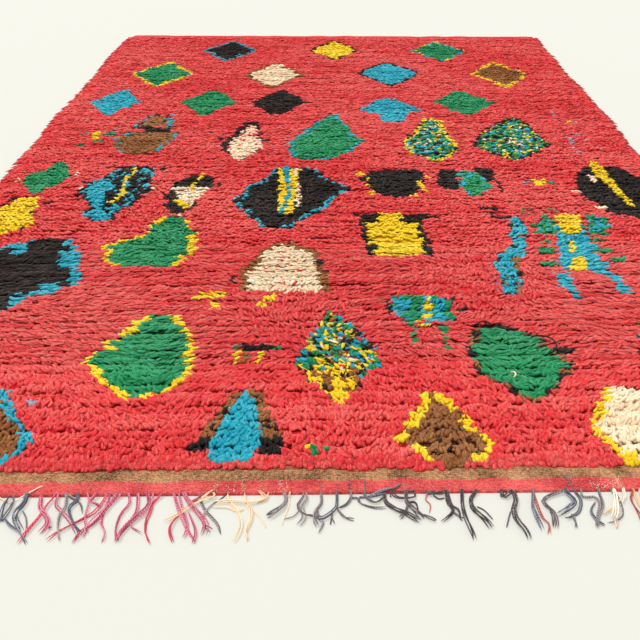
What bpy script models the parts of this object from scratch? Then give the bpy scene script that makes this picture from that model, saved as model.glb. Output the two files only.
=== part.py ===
"""Boujaad rug: one hand-woven cloth with a knotted shag field between flat-woven ends, and a warp fringe.

Lengths are in metres and +Z is up. The rug lies flat on its back. X runs along the knot rows and +Y runs
along the warps, away from the fringed near end. The origin is the middle of the whole outline, on the floor.
"""
import math
import random
from collections import namedtuple

import bmesh
import bpy
import numpy as np
from mathutils import Vector, noise

# The whole rug
RUG_WIDTH = 1.600          # over the tips of the tufts at both sides
CLOTH_LENGTH = 2.400       # end of the weave to end of the weave, without the fringe
SELVEDGE_INSET = 0.016     # from a side tuft's tip back to the middle line of the woven edge
END_SKEW = 0.026           # slope of the near end across the rug: its left corner lies nearer than its right
WEAVE_THICKNESS = 0.003
GAP = 0.0003               # left between the cloth and the strip that holds the fringe

# The flat-woven bands at each end
RED_BAND = 0.028
BROWN_BAND = 0.022         # the first row of tufts hangs over about 10 mm of it

# The shag field, as a lumpy slab
PILE_TOP = 0.0205          # height of the field above the floor
RIM_TOP = 0.0155           # height of its rim, where the tufts lean outwards
LUMP_SIZE = 0.034
LUMP_HEIGHT = 0.0085
RISER_DEPTH = 0.004        # ground covered by the step from a flat end up to the field
FIELD_COLUMNS = 32
FIELD_ROWS = 44

# The locks at the rim of the field
LOCK_REACH = 0.013
LOCK_REACH_SPREAD = 0.004
LOCK_LEAN = 0.009          # how far a tip drifts along the edge
LOCK_TIP_SCALE = 0.45      # width of a tip as a share of its root
LOCK_TIP_LOW = 0.0012      # a side tip's lowest point above the floor
LOCK_TIP_THICKNESS = 0.006
LOCK_CLEARANCE = 0.0015    # an end tip's lowest point above the flat weave

# The fringe
ROOT_STRIP = 0.006         # the last weft rows, which hold the warp bundles
FRINGE_REACH = 0.084       # from the middle of the cloth's near end to the furthest tip
BUNDLES = 76
FORKED_SHARE = 0.52        # bundles that have parted into two strands
BUNDLE_WIDTH = 0.0046
STRAND_WIDTH = 0.0024
FORK_SLIT = 0.0009
STRAND_LENGTH = 0.058
STRAND_LENGTH_SPREAD = 0.009
STRAND_STEPS = 3
STRAND_TIP_SCALE = 0.62
FORK_SPREAD = 0.0034       # how far each strand of a fork drifts from the other at its tip
SWAY = 0.0060              # sideways drift that neighbouring bundles share
SWAY_LENGTH = 0.47
STRAY = 0.0022             # sideways drift of one bundle alone

SEED = 7

# Slow waves of the two woven edges
EdgeWave = namedtuple("EdgeWave", "wavelength height phase")
LEFT_WAVES = [
    EdgeWave(0.66, 0.0040, 0.4),
    EdgeWave(0.29, 0.0022, 1.9),
]
RIGHT_WAVES = [
    EdgeWave(0.83, 0.0035, 2.6),
    EdgeWave(0.33, 0.0025, 0.2),
]

LEVEL_BOTTOM, LEVEL_TOP = 0.0, 1.0


def remove_scene_objects():
    """Empty the scene of the objects it starts with."""
    for thing in list(bpy.data.objects):
        bpy.data.objects.remove(thing, do_unlink=True)


def wool(name, colour, roughness):
    """A wool material with one base colour."""
    material = bpy.data.materials.new(name)
    material.use_nodes = True
    shader = material.node_tree.nodes["Principled BSDF"]
    shader.inputs["Base Color"].default_value = (*colour, 1.0)
    shader.inputs["Roughness"].default_value = roughness
    shader.inputs["Metallic"].default_value = 0.0
    return material


def edge_wave(along, waves):
    """Outward bulge of a woven edge at a distance along it, as a sum of slow sines."""
    total = np.zeros_like(along)
    for wave in waves:
        total += wave.height * np.sin(2.0 * math.pi * along / wave.wavelength + wave.phase)
    return total


def cloth_point(across, along):
    """Floor position of a point of the cloth.

    across runs from -1 at the left woven edge to 1 at the right one, and along is the distance from the near
    end. The half width swells with the waves of its own edge, and the near end's skew fades out to the far
    end.
    """
    half = RUG_WIDTH / 2.0 - SELVEDGE_INSET
    bulge = np.where(across < 0.0, edge_wave(along, LEFT_WAVES), edge_wave(along, RIGHT_WAVES))
    x = across * (half + bulge)
    y = along + END_SKEW * x * (1.0 - along / CLOTH_LENGTH)
    return x, y - (CLOTH_LENGTH - FRINGE_REACH) / 2.0


def field_lines():
    """Distances along the cloth of the lines that its grid is drawn on, from the near end to the far end."""
    flat = RED_BAND + BROWN_BAND
    near = [ROOT_STRIP + GAP, RED_BAND, flat - RISER_DEPTH]
    field = list(np.linspace(flat, CLOTH_LENGTH - flat, FIELD_ROWS + 1))
    far = [CLOTH_LENGTH - flat + RISER_DEPTH, CLOTH_LENGTH - RED_BAND, CLOTH_LENGTH]
    return near + field + far


def lump(x, y):
    """Rise or dip of the shag at a point, from smooth noise at the size of a clump of tufts."""
    return LUMP_HEIGHT * noise.noise(Vector((x / LUMP_SIZE, y / LUMP_SIZE, 0.5)))


def mesh_object(name, bm, material, collection):
    """Make a named object of a finished bmesh, with its faces pointing outwards."""
    bmesh.ops.recalc_face_normals(bm, faces=bm.faces[:])
    mesh = bpy.data.meshes.new(name)
    bm.to_mesh(mesh)
    bm.free()
    mesh.materials.append(material)
    made = bpy.data.objects.new(name, mesh)
    collection.objects.link(made)
    return made


def closed_grid(columns, rows):
    """A flat box drawn as a grid: every corner's x, y and z are its column, its row and its level."""
    bm = bmesh.new()
    bmesh.ops.create_grid(bm, x_segments=columns, y_segments=rows, size=1.0)
    for vert in bm.verts:
        vert.co.x = round((vert.co.x + 1.0) / 2.0 * columns)
        vert.co.y = round((vert.co.y + 1.0) / 2.0 * rows)
    bottom = bm.faces[:]
    raised = bmesh.ops.extrude_face_region(bm, geom=bottom, use_keep_orig=True)
    for item in raised["geom"]:
        if isinstance(item, bmesh.types.BMVert):
            item.co.z = LEVEL_TOP
    bmesh.ops.dissolve_faces(bm, faces=bottom)
    return bm


def side_cells(bm, columns, first_row, last_row):
    """The wall faces of the two woven edges beside the field, between two rows."""
    cells = []
    for face in bm.faces:
        middle = face.calc_center_median()
        on_edge = abs(middle.x) < 1e-4 or abs(middle.x - columns) < 1e-4
        if on_edge and first_row < middle.y < last_row:
            cells.append(face)
    return cells


def riser_cells(bm, rows):
    """The top faces that climb from a flat end to the field, in the given rows of the grid."""
    cells = []
    for face in bm.faces:
        middle = face.calc_center_median()
        if middle.z > 0.99 and int(middle.y) in rows:
            cells.append(face)
    return cells


def split_in_three(bm, cells, axis):
    """Cut each cell into three strips, by two cuts in each of its two edges that run along an axis."""
    rails = set()
    for face in cells:
        for edge in face.edges:
            run = edge.verts[1].co - edge.verts[0].co
            if abs(run[axis]) > 0.5:
                rails.add(edge)
    bmesh.ops.subdivide_edges(bm, edges=list(rails), cuts=2)


def middle_strips(bm, is_cell, axis):
    """The middle one of each cell's three strips."""
    strips = []
    for face in bm.faces:
        middle = face.calc_center_median()
        if len(face.verts) == 4 and is_cell(middle) and abs(middle[axis] % 1.0 - 0.5) < 0.02:
            strips.append(face)
    return strips


def place_cloth(bm, lines):
    """Move every corner of the drawn grid to its place on the real cloth."""
    last = len(lines) - 1
    for vert in bm.verts:
        column, row, level = vert.co
        across = 2.0 * column / FIELD_COLUMNS - 1.0
        along = float(np.interp(row, range(last + 1), lines))
        x, y = cloth_point(np.array(across), np.array(along))
        vert.co.x = float(x)
        vert.co.y = float(y)
        vert.co.z = 0.0 if level < 0.5 else cloth_height(column, row, last, x, y)


def cloth_height(column, row, last, x, y):
    """Height of the cloth's upper side: thin at the flat ends, low at the field's rim and lumpy inside."""
    inside = min(row - 3.0, last - 3.0 - row)
    if inside < -0.01:
        return WEAVE_THICKNESS
    from_rim = min(inside, column, FIELD_COLUMNS - column)
    base = RIM_TOP + (PILE_TOP - RIM_TOP) * min(1.0, max(0.0, from_rim))
    return base + lump(float(x), float(y))


def grow_lock(bm, root, outward, floor, rng):
    """Draw one lock out of a root face: its end is narrower, lies low and leans a little along the edge."""
    reach = LOCK_REACH + rng.uniform(-1.0, 1.0) * LOCK_REACH_SPREAD
    lean = rng.uniform(-1.0, 1.0) * LOCK_LEAN
    sideways = Vector((-outward.y, outward.x, 0.0))
    middle = root.calc_center_median()
    low = min(vert.co.z for vert in root.verts)
    high = max(vert.co.z for vert in root.verts)
    tip = bmesh.ops.extrude_discrete_faces(bm, faces=[root])["faces"][0]
    for vert in tip.verts:
        share = (vert.co.z - low) / (high - low)
        offset = (vert.co - middle).dot(sideways) * LOCK_TIP_SCALE
        place = middle + outward * reach + sideways * (lean + offset)
        limit = RUG_WIDTH / 2.0
        vert.co.x = min(limit, max(-limit, place.x))
        vert.co.y = place.y
        vert.co.z = floor + share * LOCK_TIP_THICKNESS


def build_cloth(collection, material):
    """The one-piece cloth: two flat-woven ends, the lumpy shag field and the locks that hang over its rim."""
    rng = random.Random(SEED)
    lines = field_lines()
    rows = len(lines) - 1
    near_riser, far_riser = 2, rows - 3
    bm = closed_grid(FIELD_COLUMNS, rows)

    split_in_three(bm, side_cells(bm, FIELD_COLUMNS, near_riser + 1, far_riser), axis=1)
    split_in_three(bm, riser_cells(bm, (near_riser, far_riser)), axis=0)

    def on_side(middle):
        on_edge = abs(middle.x) < 1e-4 or abs(middle.x - FIELD_COLUMNS) < 1e-4
        return on_edge and near_riser + 1 < middle.y < far_riser

    def on_riser(middle):
        return middle.z > 0.99 and int(middle.y) in (near_riser, far_riser)

    side_roots = middle_strips(bm, on_side, axis=1)
    end_roots = middle_strips(bm, on_riser, axis=0)
    place_cloth(bm, lines)

    for root in side_roots:
        left = root.calc_center_median().x < 0.0
        grow_lock(bm, root, Vector((-1.0 if left else 1.0, 0.0, 0.0)), LOCK_TIP_LOW, rng)
    for root in end_roots:
        near = root.calc_center_median().y < 0.0
        outward = Vector((0.0, -1.0 if near else 1.0, 0.0))
        grow_lock(bm, root, outward, WEAVE_THICKNESS + LOCK_CLEARANCE, rng)
    return mesh_object("rug_cloth", bm, material, collection)


def bundle_columns(rng):
    """Edges of the strip's columns across the rug, and the strands that grow from them.

    Each strand is its root's column and the sideways drift of its tip. The bundles are evenly spaced, and a
    forked one has two roots with a slit between them.
    """
    half = float(cloth_point(np.array(1.0), np.array(0.0))[0])
    left = float(cloth_point(np.array(-1.0), np.array(0.0))[0])
    pitch = (half - left) / BUNDLES
    edges = [left]
    strands = []
    for number in range(BUNDLES):
        middle = left + (number + 0.5) * pitch
        sway = SWAY * math.sin(2.0 * math.pi * middle / SWAY_LENGTH) + rng.uniform(-1.0, 1.0) * STRAY
        if rng.random() < FORKED_SHARE:
            inner = FORK_SLIT / 2.0
            outer = inner + STRAND_WIDTH
            first = len(edges)
            edges += [middle - outer, middle - inner, middle + inner, middle + outer]
            strands.append((first, sway - FORK_SPREAD))
            strands.append((first + 2, sway + FORK_SPREAD))
        else:
            first = len(edges)
            edges += [middle - BUNDLE_WIDTH / 2.0, middle + BUNDLE_WIDTH / 2.0]
            strands.append((first, sway))
    edges.append(half)
    return edges, strands


def grow_strand(bm, root, lean, length, tip_limit):
    """Draw one strand out of its root in a few steps. Its underside stays on the floor all the way.

    The strand's middle leaves square to the cloth's end and drifts sideways with the square of the distance.
    """
    start = root.calc_center_median()
    half_width = max(abs(vert.co.x - start.x) for vert in root.verts)
    length = min(length, start.y - tip_limit)
    face = root
    for step in range(1, STRAND_STEPS + 1):
        share = step / STRAND_STEPS
        scale = 1.0 + (STRAND_TIP_SCALE - 1.0) * share
        last = face.calc_center_median()
        face = bmesh.ops.extrude_discrete_faces(bm, faces=[face])["faces"][0]
        for vert in face.verts:
            side = 1.0 if vert.co.x > last.x else -1.0
            vert.co.x = start.x + lean * share ** 2 + side * half_width * scale
            vert.co.y = start.y - length * share
            vert.co.z = WEAVE_THICKNESS * scale if vert.co.z > last.z else 0.0


def build_fringe(collection, material):
    """The warp fringe: strands side by side on the floor, fused at their roots into a narrow woven strip."""
    rng = random.Random(SEED + 1)
    edges, strands = bundle_columns(rng)
    columns = len(edges) - 1
    bm = closed_grid(columns, 1)
    roots = {}
    for face in bm.faces:
        middle = face.calc_center_median()
        if abs(middle.y) < 1e-4:
            roots[int(middle.x)] = face
    for vert in bm.verts:
        x = edges[int(round(vert.co.x))]
        along = vert.co.y * ROOT_STRIP
        vert.co.z = 0.0 if vert.co.z < 0.5 else WEAVE_THICKNESS
        vert.co.x = x
        vert.co.y = along + END_SKEW * x * (1.0 - along / CLOTH_LENGTH) - (CLOTH_LENGTH - FRINGE_REACH) / 2.0
    tip_limit = -(CLOTH_LENGTH + FRINGE_REACH) / 2.0
    for column, lean in strands:
        length = STRAND_LENGTH + rng.uniform(-1.0, 1.0) * STRAND_LENGTH_SPREAD
        grow_strand(bm, roots[column], lean, length, tip_limit)
    return mesh_object("near_fringe", bm, material, collection)


def main():
    """Build the rug's two solids in a collection of their own."""
    remove_scene_objects()
    collection = bpy.data.collections.new("boujaad_rug")
    bpy.context.scene.collection.children.link(collection)
    red_wool = wool("red pile wool", (0.62, 0.075, 0.070), 0.95)
    warp_wool = wool("warp yarn", (0.36, 0.22, 0.20), 0.9)
    build_cloth(collection, red_wool)
    build_fringe(collection, warp_wool)


main()
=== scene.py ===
# %% [markdown]
# # A Boujaad rug
#
# This lesson dresses the plain solids of a hand-knotted Boujaad rug as the real thing: about twenty
# thousand knots of hand-spun wool, tied in rows on a woven ground, between two flat-woven ends and a loose
# warp fringe. The solids come first. They are the fixed frame that every new piece is placed in, so nothing
# is fitted afterwards.

# %% Load the solids
import math
from collections import namedtuple

import bpy
import numpy as np
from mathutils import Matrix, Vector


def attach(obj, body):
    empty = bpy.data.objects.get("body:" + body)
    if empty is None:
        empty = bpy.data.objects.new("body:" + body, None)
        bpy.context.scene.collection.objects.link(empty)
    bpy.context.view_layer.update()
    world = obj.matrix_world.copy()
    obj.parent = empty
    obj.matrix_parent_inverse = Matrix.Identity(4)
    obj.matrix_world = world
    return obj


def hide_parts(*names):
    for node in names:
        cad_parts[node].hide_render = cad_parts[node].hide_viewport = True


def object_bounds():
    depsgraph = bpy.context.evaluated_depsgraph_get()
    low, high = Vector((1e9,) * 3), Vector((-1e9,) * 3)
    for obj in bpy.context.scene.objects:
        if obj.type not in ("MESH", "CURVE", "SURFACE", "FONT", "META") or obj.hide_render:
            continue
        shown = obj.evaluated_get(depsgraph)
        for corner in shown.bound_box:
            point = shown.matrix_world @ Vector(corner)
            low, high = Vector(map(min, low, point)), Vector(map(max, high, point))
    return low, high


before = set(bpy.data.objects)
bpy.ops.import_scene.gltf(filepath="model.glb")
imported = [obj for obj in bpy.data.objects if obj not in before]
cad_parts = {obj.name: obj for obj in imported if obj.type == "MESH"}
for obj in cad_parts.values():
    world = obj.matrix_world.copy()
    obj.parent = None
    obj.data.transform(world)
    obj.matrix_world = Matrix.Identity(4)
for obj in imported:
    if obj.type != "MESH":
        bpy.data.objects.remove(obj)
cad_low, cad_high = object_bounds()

print("solids:", sorted(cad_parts), "from", list(cad_low), "to", list(cad_high))

# %% [markdown]
# ## The weaver's measures
#
# A weaver thinks along two lines: across the rug, knot by knot, and along it, row by row, from the end that
# is woven first. The rug below is described in those two distances, and one function turns them into places
# on the floor. The woven edges swell and draw in a little, and the near end isn't square to the sides, as
# on any cloth that was beaten down by hand. The numbers are the ones that the solids were built from.

# %% Driving dimensions, in metres
RUG_WIDTH = 1.600
CLOTH_LENGTH = 2.400
SELVEDGE_INSET = 0.016
END_SKEW = 0.026
FRINGE_REACH = 0.084
WEAVE_TOP = 0.003
RED_BAND = 0.028
BROWN_BAND = 0.022
FLAT_END = RED_BAND + BROWN_BAND

KNOT_COLUMNS = 140
KNOT_ROWS = 137

EdgeWave = namedtuple("EdgeWave", "wavelength height phase")
LEFT_WAVES = [
    EdgeWave(0.66, 0.0040, 0.4),
    EdgeWave(0.29, 0.0022, 1.9),
]
RIGHT_WAVES = [
    EdgeWave(0.83, 0.0035, 2.6),
    EdgeWave(0.33, 0.0025, 0.2),
]
HALF_CLOTH = RUG_WIDTH / 2 - SELVEDGE_INSET
ROW_PITCH = (CLOTH_LENGTH - 2 * FLAT_END) / KNOT_ROWS
KNOT_PITCH = 2 * HALF_CLOTH / KNOT_COLUMNS
print(f"knots are {KNOT_PITCH * 1000:.1f} mm apart in rows {ROW_PITCH * 1000:.1f} mm apart")


# %% Places on the rug
def edge_wave(along, waves):
    """Outward bulge of a woven edge: the sum of height * sin(2 pi along / wavelength + phase)."""
    total = np.zeros_like(along)
    for wave in waves:
        total = total + wave.height * np.sin(2 * math.pi * along / wave.wavelength + wave.phase)
    return total


def on_floor(across, along):
    """Floor position of a point of the cloth.

    across runs from -1 to 1 between the woven edges. x is across times the half width with its edge's bulge,
    and y is along, plus the near end's skew times x, which fades out to the far end, less half the length.
    """
    bulge = np.where(across < 0, edge_wave(along, LEFT_WAVES), edge_wave(along, RIGHT_WAVES))
    x = across * (HALF_CLOTH + bulge)
    y = along + END_SKEW * x * (1 - along / CLOTH_LENGTH)
    return x, y - (CLOTH_LENGTH - FRINGE_REACH) / 2


# %% [markdown]
# ## Smooth randomness
#
# Hand work is never even, but its unevenness is smooth: neighbouring tufts lean alike, and a dye bath fades
# over a hand's breadth. A few sine waves with random directions, added up, give such a field over the whole
# rug at once. It is cheap, it repeats on every run, and its scale is set in metres.

# %% Smooth random fields
def smooth_field(x, y, size, seed, waves=9):
    """Smooth random values from about -1 to 1 over the plane.

    The sum of sin(kx x + ky y + phase) over some waves of about the given size, divided by the square root of
    half their number so that the spread stays the same.
    """
    rng = np.random.default_rng(seed)
    total = np.zeros_like(x)
    for _ in range(waves):
        angle = rng.uniform(0, 2 * math.pi)
        k = 2 * math.pi / (size * rng.uniform(0.7, 1.6))
        total = total + np.sin(k * (x * math.cos(angle) + y * math.sin(angle)) + rng.uniform(0, 2 * math.pi))
    return total / math.sqrt(waves / 2) / 1.6


# %% [markdown]
# ## Yarns
#
# The pile is spun from sheep's wool and recycled garments, and each colour is its own dye bath. A motif is
# knotted either in one yarn or in a handful of leftovers, so every motif names a mix: a few yarns and the
# share of locks that each one gets. The ground is a coral red.

# %% Yarns and the mixes that a weaver takes them in
YARNS = ["red", "green", "blue", "yellow", "black", "brown", "cream", "slate"]
MIXES = {yarn: {yarn: 1.0} for yarn in YARNS}
MIXES.update({
    "brown": {"brown": 0.985, "black": 0.015},
    "slate": {"slate": 0.8, "red": 0.2},
    "bark": {"brown": 0.94, "black": 0.06},
    "charred": {"black": 0.6, "brown": 0.4},
    "ink": {"black": 0.80, "blue": 0.20},
    "dashes": {"blue": 0.62, "black": 0.38},
    "dashed": {"blue": 0.55, "green": 0.45},
    "flecked": {"blue": 0.42, "brown": 0.58},
    "azure": {"blue": 0.46, "green": 0.20, "yellow": 0.22, "black": 0.12},
    "sunny": {"yellow": 0.7, "green": 0.15, "black": 0.15},
    "inky": {"black": 0.7, "green": 0.15, "yellow": 0.15},
    "streaked": {"cream": 0.90, "red": 0.10},
    "rosy": {"cream": 0.78, "red": 0.22},
    "zigzag": {"blue": 0.74, "brown": 0.14, "black": 0.12},
    "meadow": {"green": 0.55, "blue": 0.45},
    "mottle": {"green": 0.38, "blue": 0.20, "yellow": 0.12, "black": 0.22, "cream": 0.05, "brown": 0.03},
    "speckle": {"green": 0.27, "blue": 0.17, "yellow": 0.26, "black": 0.18, "cream": 0.04, "brown": 0.06,
                "red": 0.02},
    "spice": {"yellow": 0.46, "brown": 0.38, "black": 0.16},
})
print(len(YARNS), "yarns and", len(MIXES), "mixes")

# %% [markdown]
# ## Motifs
#
# Boujaad weavers improvise with a small stock of old signs: the lozenge with an edge of another colour, the
# half lozenge or tent, the comb, the zigzag, the striped figure, and small talismans of a few knots. A
# weaver works a sign out row by row: where it starts and ends on this row, and how that shifts on the next.
# So each sign below is a mix for its inside, after a slash another for the knots at its edge, and a few
# levels: a distance from the near end, and the sign's left and right edge there, in centimetres to the
# nearest half. The edge runs straight between two levels, and a sign with a single level is one row high.
# The chance in each row's start and end then gives the wandering outline of hand work. The signs are laid
# down in order, so a later one covers an earlier one, and small ones share a line. Past 1.5 m along, and at
# the near corners, the photograph shows nothing, and a few plain lozenges of the same kind stand there.

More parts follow.
